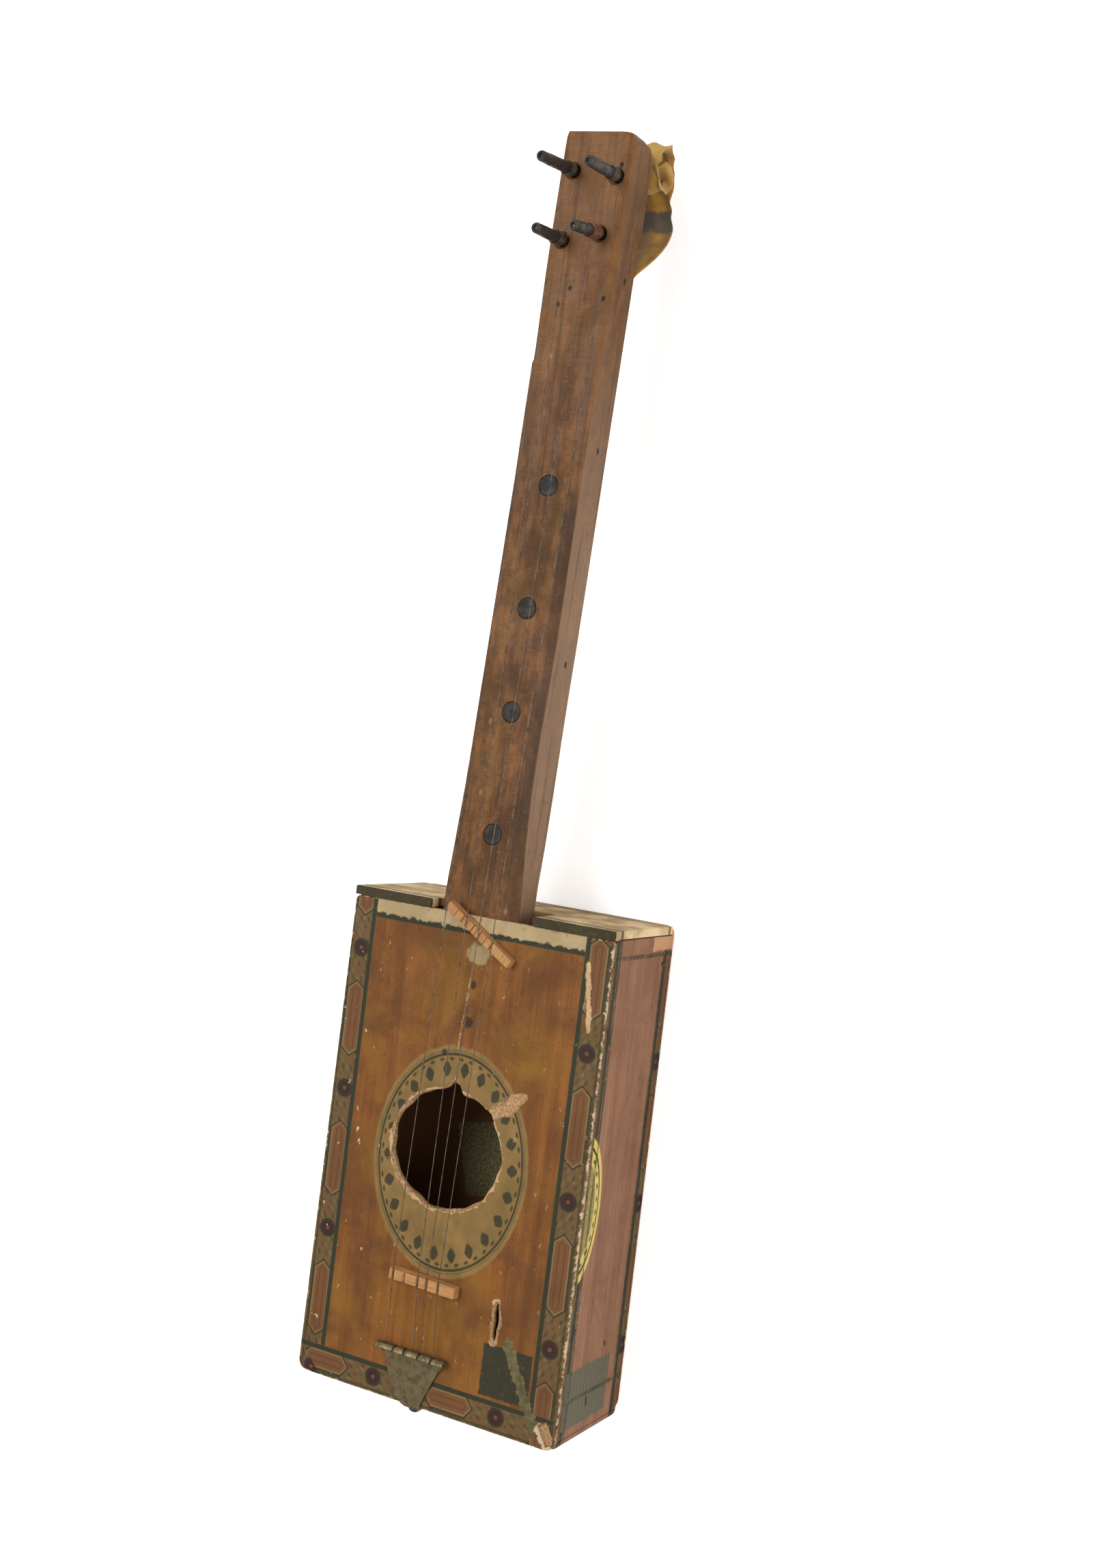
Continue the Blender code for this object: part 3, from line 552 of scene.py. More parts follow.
@dataclass(frozen=True)
class BoxPaper:
    """The box's printed edging paper and labels: colours and pattern."""

    ground: Colour = (0.145, 0.080, 0.030)
    green: Colour = (0.030, 0.034, 0.018)
    lozenge: Colour = (0.170, 0.070, 0.026)
    dot: Colour = (0.048, 0.016, 0.015)
    tan: Colour = (0.215, 0.135, 0.052)
    chip: Colour = (0.58, 0.44, 0.27)
    olive: Colour = (0.165, 0.135, 0.055)
    stamp: Colour = (0.028, 0.030, 0.018)
    raw: Colour = (0.46, 0.25, 0.12)
    middle_share: float = 0.52
    outer_line_share: float = 0.10
    inner_line_in: float = 1.2
    lozenge_half: float = 4.1
    lozenge_slope: float = 0.8
    lozenge_line_in: float = 2.6
    dot_radius: float = 3.2
    dot_outline: float = 4.3
    dot_eye: float = 0.9

    def strip(self, g: Graph, under: Field, across: Field, along: Field, width: float,
              dots: Pair, lozenges: tuple[float, float, float]) -> Field:
        """Edging paper with a green inner line, dots and plain lozenges.

        Args:
            g: The graph.
            under: The colour so far.
            across: Millimetres in from the box's edge.
            along: Millimetres along the edge.
            width: Width of the strip.
            dots: Place of one dot, and the dots' spacing.
            lozenges: Place of one lozenge, their spacing and their length.

        Returns:
            The colour with the strip on it.
        """
        inner = across - width
        scrolls = g.math("SINE", along * 0.9) * g.math("SINE", across * 1.5 + along * 0.45)
        drift = g.math("SINE", along * 0.31 + across * 0.7)
        ground = g.mix((scrolls + drift * 0.6).above(0.25, 0.45) * 0.65, self.ground,
                       self.green)
        ground = g.mix(drift.above(0.35, 0.4) * 0.35, ground, self.tan)
        colour = g.mix(inner.below(0.0), under, ground)
        middle = across - width * self.middle_share
        out_line = abs(across - width * self.outer_line_share)
        colour = g.mix(out_line.below(0.5, 0.3) * 0.7, colour, self.green)
        where, spacing, length = lozenges
        beside = (along - where).wrapped(spacing)
        slanted = abs(middle) * self.lozenge_slope + abs(beside) - length / 2
        hexagon = (abs(middle) - self.lozenge_half).most(slanted)
        for edge, tone in ((1.2, self.green), (0.3, self.tan), (-0.55, self.lozenge)):
            colour = g.mix(hexagon.below(edge, 0.3), colour, tone)
        inner_ring = abs(hexagon + self.lozenge_line_in)
        colour = g.mix(inner_ring.below(0.35, 0.2) * 0.45, colour, self.green)
        spot = (along - dots[0]).wrapped(dots[1])
        ring = g.math("SQRT", middle * middle + spot * spot)
        colour = g.mix(ring.below(self.dot_outline, 0.3), colour, self.green)
        colour = g.mix(ring.below(self.dot_radius, 0.3), colour, self.dot)
        colour = g.mix(ring.below(self.dot_eye, 0.3) * 0.5, colour, self.tan)
        return g.mix(abs(inner + self.inner_line_in).below(1.1, 0.3), colour, self.green)


@dataclass(frozen=True)
class SoundboardFinish(Finish):
    """The front: stained cedar, worn paper border, ring label and torn wood."""

    paper: BoxPaper = BoxPaper()
    light: Colour = (0.270, 0.102, 0.020)
    dark: Colour = (0.155, 0.055, 0.013)
    ochre: Colour = (0.240, 0.108, 0.015)
    smoke: Colour = (0.100, 0.040, 0.016)
    speck: Colour = (0.05, 0.026, 0.014)
    soil: Colour = (0.05, 0.025, 0.012)
    fleck: Colour = (0.60, 0.46, 0.26)
    nail_hole: Colour = (0.030, 0.016, 0.011)
    paste: Colour = (0.34, 0.25, 0.115)
    fresh_label: Colour = (0.275, 0.160, 0.052)
    dull_label: Colour = (0.205, 0.132, 0.042)
    ink: Colour = (0.030, 0.031, 0.017)
    bare_paper: Colour = (0.46, 0.34, 0.18)
    rubbed: Colour = (0.235, 0.130, 0.050)
    darkened: Colour = (0.075, 0.042, 0.020)
    stamp_light: Colour = (0.09, 0.085, 0.05)
    torn_dark: Colour = (0.085, 0.075, 0.035)
    splinter: Colour = (0.62, 0.44, 0.24)
    cut_dark: Colour = (0.30, 0.15, 0.065)
    cut_light: Colour = (0.56, 0.37, 0.19)
    edge_dark: Colour = (0.36, 0.17, 0.07)
    inner_wood_painted_shade: Colour = (0.14, 0.062, 0.027)
    nail_marks: tuple[tuple[Pair, float], ...] = (
        ((0.4, 62.4), 2.6), ((0.5, 79.5), 1.9), ((-10.1, 47.0), 1.6))
    scratch: Line = ((-3.5, 50.0), (-0.5, 90.0))
    paste_middle: Pair = (1.5, 93.5)
    paste_radii: Pair = (7.5, 5.5)
    label_middle: Pair = (-0.75, -1.4)
    label_radii: Pair = (40.5, 52.7)
    leaves: float = 22.0
    leaf_ring: float = 0.80
    beads: float = 44.0
    bead_ring: float = 0.885
    half_width: float = 68.2
    head_end: float = 110.0
    strip_width: float = 14.0
    stamp_middle: Pair = (40.8, -87.6)
    stamp_half: Pair = (12.4, 11.6)
    torn_strip: Line = ((40.0, -74.0), (57.0, -106.0))
    torn_corner: Line = ((61.5, -106.0), (64.5, -112.0))
    hole_middle: Pair = (-3.7, 3.5)
    hole_radii: Pair = (28.4, 26.8)
    tears: tuple[tuple[Pair, Pair, float], ...] = (
        ((19.0, 25.5), (32.0, 34.5), 2.3), ((32.0, -57.5), (32.6, -75.0), 1.9),
        ((-3.0, 29.0), (-2.7, 35.5), 1.2), ((56.5, 98.0), (60.5, 70.0), 1.2))

    def paint(self, g: Graph, fx: Effects) -> Surface:
        """Write the finish's nodes, from the wood up.

        Args:
            g: The material's graph.
            fx: The shared effects.

        Returns:
            What the shader takes.
        """
        at = Spot.on(g)
        wood = g.use(fx.grain, Place=at.place, Light=self.light, Dark=self.dark)
        dirt = g.use(fx.grime, Place=at.place)
        blotch = g.noise(at.place, 0.022, 4.0, 0.6)
        colour = g.mix(g.ramp(blotch, 0.44, 0.66, 0.0, 0.75), wood["Colour"], self.ochre)
        colour = g.mix(dirt["Cloud"] * 0.50, colour, self.smoke)
        colour = g.mix(dirt["Speck"] * 0.5, colour, self.speck)
        colour = self._label(g, colour, at)
        colour = self._border(g, colour, at)
        colour = self._stamp(g, colour, at)
        left_flecks = (at.x + 38.0).below(0.0, 14.0) * 0.75 + 0.25
        colour = g.mix(dirt["Fleck"] * left_flecks, colour, self.fleck)
        for centre, radius in self.nail_marks:
            mark = g.ellipse(at.x, at.y, centre, (radius, radius * 1.1)) + at.wobble * 0.25
            colour = g.mix(mark.below(0.9, 0.3) * 0.85, colour, self.nail_hole)
        line = g.capsule(at.x, at.y, *self.scratch) + at.wobble * 1.1
        colour = g.mix(line.below(0.35, 0.2) * at.fuzz.above(0.0, 0.2) * 0.8, colour,
                       self.paper.chip)
        patch = g.ellipse(at.x, at.y, self.paste_middle, self.paste_radii) + at.wobble * 0.55
        colour = g.mix(patch.below(0.8, 0.12), colour, self.paste)
        colour = self._torn(g, colour, at)
        colour = g.mix(dirt["Cloud"] * 0.22, colour, self.soil)
        rough = g.ramp(dirt["Cloud"], 0.0, 1.0, 0.50, 0.68)
        return Surface(colour, rough, height=wood["Height"] + at.fuzz * 0.3, relief_mm=0.12)

    def _label(self, g: Graph, under: Field, at: Spot) -> Field:
        """Oval label round the hole: plain rings, small leaves and beads.

        Args:
            g: The graph.
            under: The colour so far.
            at: The spot.

        Returns:
            The colour with the label on it.
        """
        away = g.ellipse(at.x, at.y, self.label_middle, self.label_radii)
        worn = away + at.wobble * 0.02
        label = g.mix(g.patches(at.x, at.y), self.fresh_label, self.dull_label)
        colour = g.mix(worn.below(1.0, 0.012), under, label)
        colour = g.mix(abs(away - 0.925).below(0.012, 0.006) * 0.9, colour, self.ink)
        colour = g.mix(abs(away - 0.955).below(0.004, 0.004) * 0.6, colour, self.ink)
        rise = (at.y - self.label_middle[1]) / self.label_radii[1]
        run = (at.x - self.label_middle[0]) / self.label_radii[0]
        angle = g.math("ARCTAN2", rise, run)
        swing = g.math("SINE", angle * self.leaves)
        leaf = abs(away - self.leaf_ring) * 9.5 + (1.0 - swing) * 0.62
        colour = g.mix(leaf.below(0.62, 0.10) * 0.88, colour, self.ink)
        bead = g.math("SINE", angle * self.beads + 1.6)
        bead_ring = abs(away - self.bead_ring) * 34.0 + (1.0 - bead) * 0.5
        return g.mix(bead_ring.below(0.55, 0.15) * 0.8, colour, self.ink)

    def _border(self, g: Graph, under: Field, at: Spot) -> Field:
        """Edging paper along the four edges, rubbed and darkened here and there.

        Args:
            g: The graph.
            under: The colour so far.
            at: The spot.

        Returns:
            The colour with the border on it.
        """
        strip, wide = self.paper.strip, self.strip_width
        right_in = self.half_width - at.x + at.wobble * 0.12
        left_in = at.x + self.half_width + at.wobble * 0.12
        tail_in = at.y + HALF_LENGTH_MM
        head_in = self.head_end - at.y
        top = strip(g, under, head_in + 4.0, at.x, 12.5, (-17.1, 67.6), (16.7, 67.6, 0.5))
        bare = (head_in - 6.2 + at.wobble * 2.6).below(0.0, 0.35)
        top = g.mix(bare * 0.92, top, self.bare_paper)
        side = strip(g, top, right_in, at.y, wide, (-5.3, 65.3), (27.4, 65.3, 35.0))
        side = strip(g, side, left_in, at.y, 13.0, (20.1, 66.0), (-13.0, 66.0, 34.0))
        tail = strip(g, under, tail_in, at.x, wide, (-27.1, 65.6), (-54.0, 67.6, 24.0))
        on_tail = tail_in.below(wide) * (abs(at.x + 1.0) - tail_in).below(55.0, 0.4)
        whole = g.mix(on_tail, side, tail)
        near = right_in.least(left_in).least(tail_in).least(head_in)
        worn = near * 0.10 + at.wobble * 1.7
        whole = g.mix(worn.below(-0.45, 0.3) * near.below(wide), whole, self.rubbed)
        faded = near * 0.12 - at.wobble * 1.8
        return g.mix(faded.below(-0.55, 0.25) * near.below(wide) * 0.8, whole, self.darkened)

    def _stamp(self, g: Graph, under: Field, at: Spot) -> Field:
        """Remains of a plain green stamp at the tail, with a torn strip.

        Args:
            g: The graph.
            under: The colour so far.
            at: The spot.

        Returns:
            The colour with the stamp on it.
        """
        wide = abs(at.x - self.stamp_middle[0] + at.wobble * 0.8) - self.stamp_half[0]
        tall = abs(at.y - self.stamp_middle[1] + at.wobble) - self.stamp_half[1]
        stamp = g.mix(at.fuzz.above(0.2, 0.3) * 0.3, self.paper.stamp, self.stamp_light)
        colour = g.mix(wide.most(tall).below(0.0, 0.3) * 0.96, under, stamp)
        strip = g.capsule(at.x, at.y, *self.torn_strip) + at.wobble * 3.6 + at.fuzz * 0.8
        torn = g.mix(at.wobble.above(0.0, 0.3), self.paper.olive, self.torn_dark)
        colour = g.mix(strip.below(2.5, 0.3), colour, torn)
        corner = g.capsule(at.x, at.y, *self.torn_corner) + at.wobble * 3.4 + at.fuzz
        return g.mix(corner.below(2.8, 0.4), colour, self.paper.chip)

    def _torn(self, g: Graph, under: Field, at: Spot) -> Field:
        """Bare wood: the hole's rim, the splinter, the crack and worn edges, and the underside
        painted dark as painted shade.

        Args:
            g: The graph.
            under: The colour so far.
            at: The spot.

        Returns:
            The colour with the bare wood on it.
        """
        raw = g.mix(at.fuzz.above(0.0, 0.5), self.paper.raw, self.splinter)
        beyond = g.ellipse(at.x, at.y, self.hole_middle, self.hole_radii) - 1.0
        rim = beyond * 27.6 + at.wobble * 2.6
        colour = g.mix(rim.below(1.3, 0.35), under, raw)
        for start, end, wide in self.tears:
            tear = g.capsule(at.x, at.y, start, end) + at.wobble * 1.6
            colour = g.mix(tear.below(wide, 0.35), colour, raw)
        flat = abs(at.x).below(67.4, 0.2) * at.y.above(-113.0, 0.2)
        cut = at.z.below(TOP_MM - 0.35, 0.12) * flat
        cut_wood = g.mix(at.fuzz.above(0.05, 0.4), self.cut_dark, self.cut_light)
        colour = g.mix(cut, colour, cut_wood)
        half = 67.55 - at.y * 0.0061
        edge = (half - abs(at.x)).least(at.y + 113.9).least(109.7 - at.y)
        edge = edge + at.wobble * 2.2 + at.fuzz * 1.2
        chip = g.mix(at.wobble.above(0.1, 0.3), self.paper.chip, self.edge_dark)
        colour = g.mix(edge.below(-0.55, 0.3) * at.z.above(61.4, 0.5), colour, chip)
        # The underside seen through the hole is painted dark: painted shade inside the box.
        return g.mix(at.z.below(59.6, 0.15), colour, self.inner_wood_painted_shade)


@dataclass(frozen=True)
class CaseFinish(Finish):
    """Sides, back and tail end: redder cedar with edging paper."""

    paper: BoxPaper = BoxPaper()
    light: Colour = (0.335, 0.165, 0.090)
    dark: Colour = (0.215, 0.098, 0.054)
    smoke: Colour = (0.135, 0.060, 0.032)
    speck: Colour = (0.05, 0.026, 0.014)
    worn_edge: Colour = (0.40, 0.22, 0.11)
    lining_light: Colour = (0.30, 0.25, 0.10)
    lining_dark: Colour = (0.07, 0.062, 0.034)
    inner_wood_painted_shade: Colour = (0.15, 0.066, 0.027)
    seal_light: Colour = (0.66, 0.50, 0.13)
    seal_dark: Colour = (0.38, 0.27, 0.09)
    print_light: Colour = (0.36, 0.28, 0.095)
    print_dark: Colour = (0.17, 0.14, 0.055)
    dash: Colour = (0.13, 0.11, 0.04)
    remnant_light: Colour = (0.115, 0.110, 0.070)
    remnant_dark: Colour = (0.055, 0.058, 0.040)
    slit_dark: Colour = (0.03, 0.015, 0.01)
    back_chip: Colour = (0.56, 0.32, 0.17)
    bare_wood: Colour = (0.52, 0.26, 0.14)
    lining_middle: Pair = (-14.0, -12.0)
    lining_half: Pair = (15.0, 18.0)
    seal_middle: Pair = (-8.3, 63.0)
    seal_radii: Pair = (33.0, 17.0)
    remnant_middle: Pair = (-93.5, 38.0)
    remnant_half: Pair = (13.0, 21.0)
    slits: tuple[Line, ...] = (((-75.5, 23.6), (-74.0, 24.1)), ((-99.5, 36.3), (-96.5, 36.6)))

    def paint(self, g: Graph, fx: Effects) -> Surface:
        """Write the finish's nodes.

        Args:
            g: The material's graph.
            fx: The shared effects.

        Returns:
            What the shader takes.
        """
        at = Spot.on(g)
        wood = g.use(fx.grain, Place=at.place, Light=self.light, Dark=self.dark)
        dirt = g.use(fx.grime, Place=at.place)
        strip = self.paper.strip
        colour = g.mix(dirt["Cloud"] * 0.32, wood["Colour"], self.smoke)
        colour = g.mix(dirt["Speck"] * 0.5, colour, self.speck)
        from_back, from_front = at.z + at.wobble * 0.2, 63.3 - at.z + at.wobble * 0.2
        lined = strip(g, colour, from_back, at.y, 9.5, (52.0, 66.0), (19.0, 66.0, 34.0))
        lined = strip(g, lined, from_front, at.y, 7.0, (2.2, 64.8), (34.6, 64.8, 30.0))
        colour = g.mix(abs(at.x).above(66.6, 0.1), colour, lined)
        colour = self._right_side(g, colour, at)
        worn = (at.z - 0.4).least(abs(abs(at.y) - HALF_LENGTH_MM))
        worn = worn + at.wobble * 1.4 + at.fuzz * 0.8
        colour = g.mix(worn.below(0.5, 0.4), colour, self.worn_edge)
        colour = self._lining(g, colour, at)
        rough = g.ramp(dirt["Cloud"], 0.0, 1.0, 0.56, 0.72)
        return Surface(colour, rough, height=wood["Height"] + at.fuzz * 0.25, relief_mm=0.12)

    def _lining(self, g: Graph, under: Field, at: Spot) -> Field:
        """Wood inside the box painted dark as painted shade, with an olive paper on the back
        board.

        Args:
            g: The graph.
            under: The colour so far.
            at: The spot.

        Returns:
            The colour with the inside on it.
        """
        inside = abs(at.x).below(65.2, 0.3) * abs(at.y).below(110.8, 0.2) * at.z.above(3.2, 0.1)
        dx = at.x - self.lining_middle[0]
        dy = at.y - self.lining_middle[1]
        wide = abs(dx + dy * 0.3 + at.wobble * 1.5) - self.lining_half[0]
        tall = abs(dy - dx * 0.2 + at.wobble) - self.lining_half[1]
        paper = g.mix(at.fuzz.above(-0.1, 0.3) * 0.8, self.lining_light, self.lining_dark)
        # The inner wood's darkness is painted shade; the olive paper is its own colour.
        lining = g.mix(wide.most(tall).below(0.0, 0.4), self.inner_wood_painted_shade, paper)
        return g.mix(inside, under, lining)

    def _right_side(self, g: Graph, under: Field, at: Spot) -> Field:
        """Half of a yellow seal, a green remnant, slits, worn lines and bare wood.

        Args:
            g: The graph.
            under: The colour so far.
            at: The spot.

        Returns:
            The colour with the right side's marks on it.
        """
        green = self.paper.green
        right = at.x.above(66.4, 0.1)
        seal = g.ellipse(at.y, at.z, self.seal_middle, self.seal_radii) + at.wobble * 0.015
        yellow = g.mix(at.fuzz.above(0.1, 0.3) * 0.35, self.seal_light, self.seal_dark)
        colour = g.mix(seal.below(1.0, 0.012) * right, under, yellow)
        colour = g.mix(abs(seal - 0.86).below(0.025, 0.01) * right, colour, green)
        tone = g.mix(at.fuzz.above(0.0, 0.3) * 0.8, self.print_light, self.print_dark)
        colour = g.mix(seal.below(0.66, 0.015) * right, colour, tone)
        dashes = g.math("SINE", at.y * 1.1)
        ring = abs(seal - 0.76) * 14.0 + (1.0 - dashes) * 0.5
        colour = g.mix(ring.below(0.6, 0.15) * right, colour, self.dash)
        long = abs(at.y - self.remnant_middle[0] + at.wobble) - self.remnant_half[0]
        tall = abs(at.z - self.remnant_middle[1] + at.wobble) - self.remnant_half[1]
        rules = g.math("SINE", at.z * 1.9 + at.wobble).above(0.55, 0.2)
        remnant = g.mix(rules * 0.5, self.remnant_light, self.remnant_dark)
        colour = g.mix(long.most(tall).below(0.0, 0.35) * right * 0.9, colour, remnant)
        for slit in self.slits:
            away = g.capsule(at.y, at.z, *slit)
            colour = g.mix(away.below(0.7, 0.3) * right, colour, self.slit_dark)
        lines = abs(abs(at.y - 4.0) - 98.0 + at.wobble * 0.5).below(1.0, 0.3)
        for height in (9.6, 55.0):
            lines = lines.most(abs(at.z - height + at.wobble * 0.5).below(0.9, 0.3))
        kept = at.fuzz.below(0.15, 0.35) * at.wobble.below(0.2, 0.3)
        colour = g.mix(lines * kept * right * 0.9, colour, green)
        chips = (at.z - 1.6 + at.wobble * 2.8 + at.fuzz).below(0.0, 0.4)
        colour = g.mix(chips * right * 0.85, colour, self.back_chip)
        bare = (104.0 - at.y + at.wobble * 2.5).most(at.z - 22.0 + at.wobble * 4.0)
        return g.mix(bare.below(0.0, 0.5) * right, colour, self.bare_wood)


@dataclass(frozen=True)
class EndPaperFinish(Finish):
    """The neck end: yellowed paper over wood, with green lines and wear."""

    paper: BoxPaper = BoxPaper()
    fresh: Colour = (0.78, 0.59, 0.33)
    stained: Colour = (0.42, 0.27, 0.125)
    dust: Colour = (0.24, 0.14, 0.06)
    speck: Colour = (0.08, 0.045, 0.022)
    rim_green: Colour = (0.020, 0.024, 0.012)
    rim_brown: Colour = (0.095, 0.046, 0.020)
    inner_wood_painted_shade: Colour = (0.07, 0.034, 0.016)
    rim_from: float = 62.6

    def paint(self, g: Graph, fx: Effects) -> Surface:
        """Write the finish's nodes.

        Args:
            g: The material's graph.
            fx: The shared effects.

        Returns:
            What the shader takes.
        """
        at = Spot.on(g)
        dirt = g.use(fx.grime, Place=at.place)
        blotch = g.noise(at.place, 0.06, 5.0, 0.6)
        colour = g.mix(g.ramp(blotch, 0.35, 0.65, 0.0, 1.0), self.fresh, self.stained)
        for height, half, share in ((56.5, 1.2, 0.85), (8.0, 1.0, 0.8)):
            line = abs(at.z - height + at.wobble * 0.3).below(half, 0.3)
            colour = g.mix(line * share, colour, self.paper.green)
        colour = g.mix(dirt["Cloud"] * 0.28, colour, self.dust)
        colour = g.mix(dirt["Speck"] * 0.6, colour, self.speck)
        rim = g.mix(at.fuzz.above(0.1, 0.4) * 0.6, self.rim_green, self.rim_brown)
        edge = at.z - self.rim_from + at.wobble * 0.9 + at.fuzz * 0.4
        colour = g.mix(edge.above(0.0, 0.3) * 0.97, colour, rim)
        # The panel's inside face is painted dark: painted shade inside the box.
        inside = at.y.below(110.9, 0.1) * at.z.below(59.0, 0.2)
        colour = g.mix(inside, colour, self.inner_wood_painted_shade)
        return Surface(colour, 0.72, height=blotch + at.fuzz * 0.3, relief_mm=0.1)


@dataclass(frozen=True)
class NeckFinish(Finish):
    """The plank: dark, hand-worn wood with lighter patches, a painted shade strip near the
    front arris and a side face painted lighter as painted light.
    """

    light: Colour = (0.225, 0.088, 0.025)
    dark: Colour = (0.070, 0.028, 0.010)
    ochre: Colour = (0.215, 0.098, 0.024)
    smoke: Colour = (0.055, 0.030, 0.016)
    patch_dark: Colour = (0.050, 0.024, 0.011)
    patch_light: Colour = (0.300, 0.125, 0.036)
    upper_tone: Colour = (0.215, 0.095, 0.034)
    shade_tone: Colour = (0.045, 0.026, 0.015)
    side_painted_light: Colour = (0.330, 0.205, 0.125)
    streak: Colour = (0.035, 0.020, 0.012)
    scratch_dark: Colour = (0.045, 0.024, 0.013)
    scratch_light: Colour = (0.30, 0.155, 0.065)
    hole: Colour = (0.012, 0.008, 0.006)
    dent: Colour = (0.33, 0.19, 0.10)
    speck: Colour = (0.025, 0.016, 0.011)
    front_from: float = 58.3
    upper_from: float = 330.0
    upper_soft: float = 60.0
    shade_line: Line = ((14.0, 115.0), (19.0, 300.0))
    front_holes: tuple[Pair, ...] = ((4.1, 392.1), (-1.0, 384.9), (21.4, 387.5), (22.4, 446.0))
    side_holes: tuple[Pair, ...] = ((322.5, 47.5), (226.6, 47.0), (103.0, 48.0), (398.0, 47.0))

    def paint(self, g: Graph, fx: Effects) -> Surface:
        """Write the finish's nodes.

        Args:
            g: The material's graph.
            fx: The shared effects.

        Returns:
            What the shader takes.
        """
        x, y, z, place = g.place()
        wood = g.use(fx.grain, Place=g.stretched(place, (1.0, 1.0, 1.0), 2.2),
                     Light=self.light, Dark=self.dark)
        dirt = g.use(fx.grime, Place=g.stretched(place, (1.0, 0.45, 1.0)))
        blotch = g.noise(g.stretched(place, (1.0, 0.35, 1.0)), 0.05, 4.0, 0.6)
        colour = g.mix(g.ramp(blotch, 0.42, 0.64, 0.0, 0.6), wood["Colour"], self.ochre)
        colour = g.mix(dirt["Cloud"] * 0.48, colour, self.smoke)
        patchy = g.noise(g.stretched(place, (1.0, 0.6, 1.0)), 0.13, 5.0, 0.65)
        colour = g.mix(patchy.below(0.46, 0.10) * 0.45, colour, self.patch_dark)
        colour = g.mix(patchy.above(0.58, 0.08) * 0.35, colour, self.patch_light)
        upper = y.above(self.upper_from, self.upper_soft) * 0.35
        colour = g.mix(upper, colour, self.upper_tone)
        front = z.above(self.front_from, 0.3)
        shade = g.capsule(x, y, *self.shade_line) + (blotch - 0.5) * 9.0
        colour = g.mix(shade.below(3.4, 2.4) * front * 0.55, colour, self.shade_tone)
        # The side face below the upper part is painted lighter: painted light.
        side = (1.0 - front) * y.below(self.upper_from, self.upper_soft)
        colour = g.mix(side * 0.60, colour, self.side_painted_light)
        streaks = g.noise(g.stretched(place, (1.0, 0.02, 1.0)), 0.45, 3.0, 0.5)
        colour = g.mix(streaks.below(0.40, 0.06) * 0.30, colour, self.streak)
        scratch = g.noise(g.stretched(place, (0.16, 1.0, 1.0)), 1.3, 3.0, 0.6)
        colour = g.mix(scratch.below(0.38, 0.05) * 0.35, colour, self.scratch_dark)
        colour = g.mix(scratch.above(0.66, 0.04) * 0.30, colour, self.scratch_light)
        for centre in self.front_holes:
            hole = g.ellipse(x, y, centre, (0.9, 1.2)).below(1.0, 0.25)
            colour = g.mix(hole * front, colour, self.hole)
        for centre in self.side_holes:
            hole = g.ellipse(y, z, centre, (1.6, 0.9)).below(1.0, 0.25)
            colour = g.mix(hole * x.above(9.0, 0.1) * (1.0 - front), colour, self.hole)
        dents = g.cells(g.stretched(place, (1.0, 0.6, 1.0)), 0.055)
        colour = g.mix(dents.below(0.05, 0.015) * 0.5, colour, self.dent)
        colour = g.mix(dirt["Speck"] * 0.45, colour, self.speck)
        rough = g.ramp(dirt["Cloud"], 0.0, 1.0, 0.40, 0.60)
        return Surface(colour, rough, height=wood["Height"], relief_mm=0.16)


@dataclass(frozen=True)
class StickFinish(Finish):
    """Bare whittled wood of the bridge and the slipped nut."""

    light: Colour = (0.56, 0.30, 0.12)
    dark: Colour = (0.34, 0.155, 0.055)
    smoke: Colour = (0.22, 0.10, 0.045)
    foot_painted_shade: Colour = (0.16, 0.075, 0.035)
    foot_height: float = 63.9
    grain: Axis = Axis.ACROSS

    def paint(self, g: Graph, fx: Effects) -> Surface:
        """Write the finish's nodes.

        Args:
            g: The material's graph.
            fx: The shared effects.

        Returns:
            What the shader takes.
        """
        _, _, z, place = g.place()
        turned = g.stretched(place, (1.0, 1.0, 1.0), -self.grain.value)
        wood = g.use(fx.grain, Place=g.stretched(turned, (1.6, 1.6, 1.6)),
                     Light=self.light, Dark=self.dark)
        dirt = g.use(fx.grime, Place=g.stretched(place, (3.0, 3.0, 3.0)))
        colour = g.mix(dirt["Cloud"] * 0.3, wood["Colour"], self.smoke)
        # The foot is painted darker where it meets the board: painted shade.
        colour = g.mix(z.below(self.foot_height, 0.5) * 0.4, colour, self.foot_painted_shade)
        return Surface(colour, 0.62, height=wood["Height"], relief_mm=0.12)


@dataclass(frozen=True)
class InlayFinish(Finish):
    """Dark position dots, cloudy and a little grey."""

    black: Colour = (0.020, 0.019, 0.018)
    grey: Colour = (0.060, 0.052, 0.045)

    def paint(self, g: Graph, fx: Effects) -> Surface:
        """Write the finish's nodes.

        Args:
            g: The material's graph.
            fx: The shared effects.

        Returns:
            What the shader takes.
        """
        _, _, _, place = g.place()
        rust = g.use(fx.tarnish, Place=place)
        colour = g.mix(rust["Cloud"], self.black, self.grey)
        return Surface(colour, 0.6, height=rust["Pits"], relief_mm=0.05)


@dataclass(frozen=True)
class MetalFinish(Finish):
    """Old metal between two tones."""

    bright: Colour = (0.10, 0.085, 0.075)
    dull: Colour = (0.035, 0.028, 0.024)
    metallic: float = 0.7
    rough_low: float = 0.34
    rough_high: float = 0.62
    relief: float = 0.06
    shine: float = 0.5

    def paint(self, g: Graph, fx: Effects) -> Surface:
        """Write the finish's nodes.

        Args:
            g: The material's graph.
            fx: The shared effects.

        Returns:
            What the shader takes.
        """
        _, _, _, place = g.place()
        rust = g.use(fx.tarnish, Place=place)
        colour = g.mix(rust["Cloud"], self.bright, self.dull)
        rough = g.ramp(rust["Cloud"], 0.0, 1.0, self.rough_low, self.rough_high)
        return Surface(colour, rough, metallic=self.metallic, height=rust["Pits"],
                       relief_mm=self.relief, specular=self.shine)


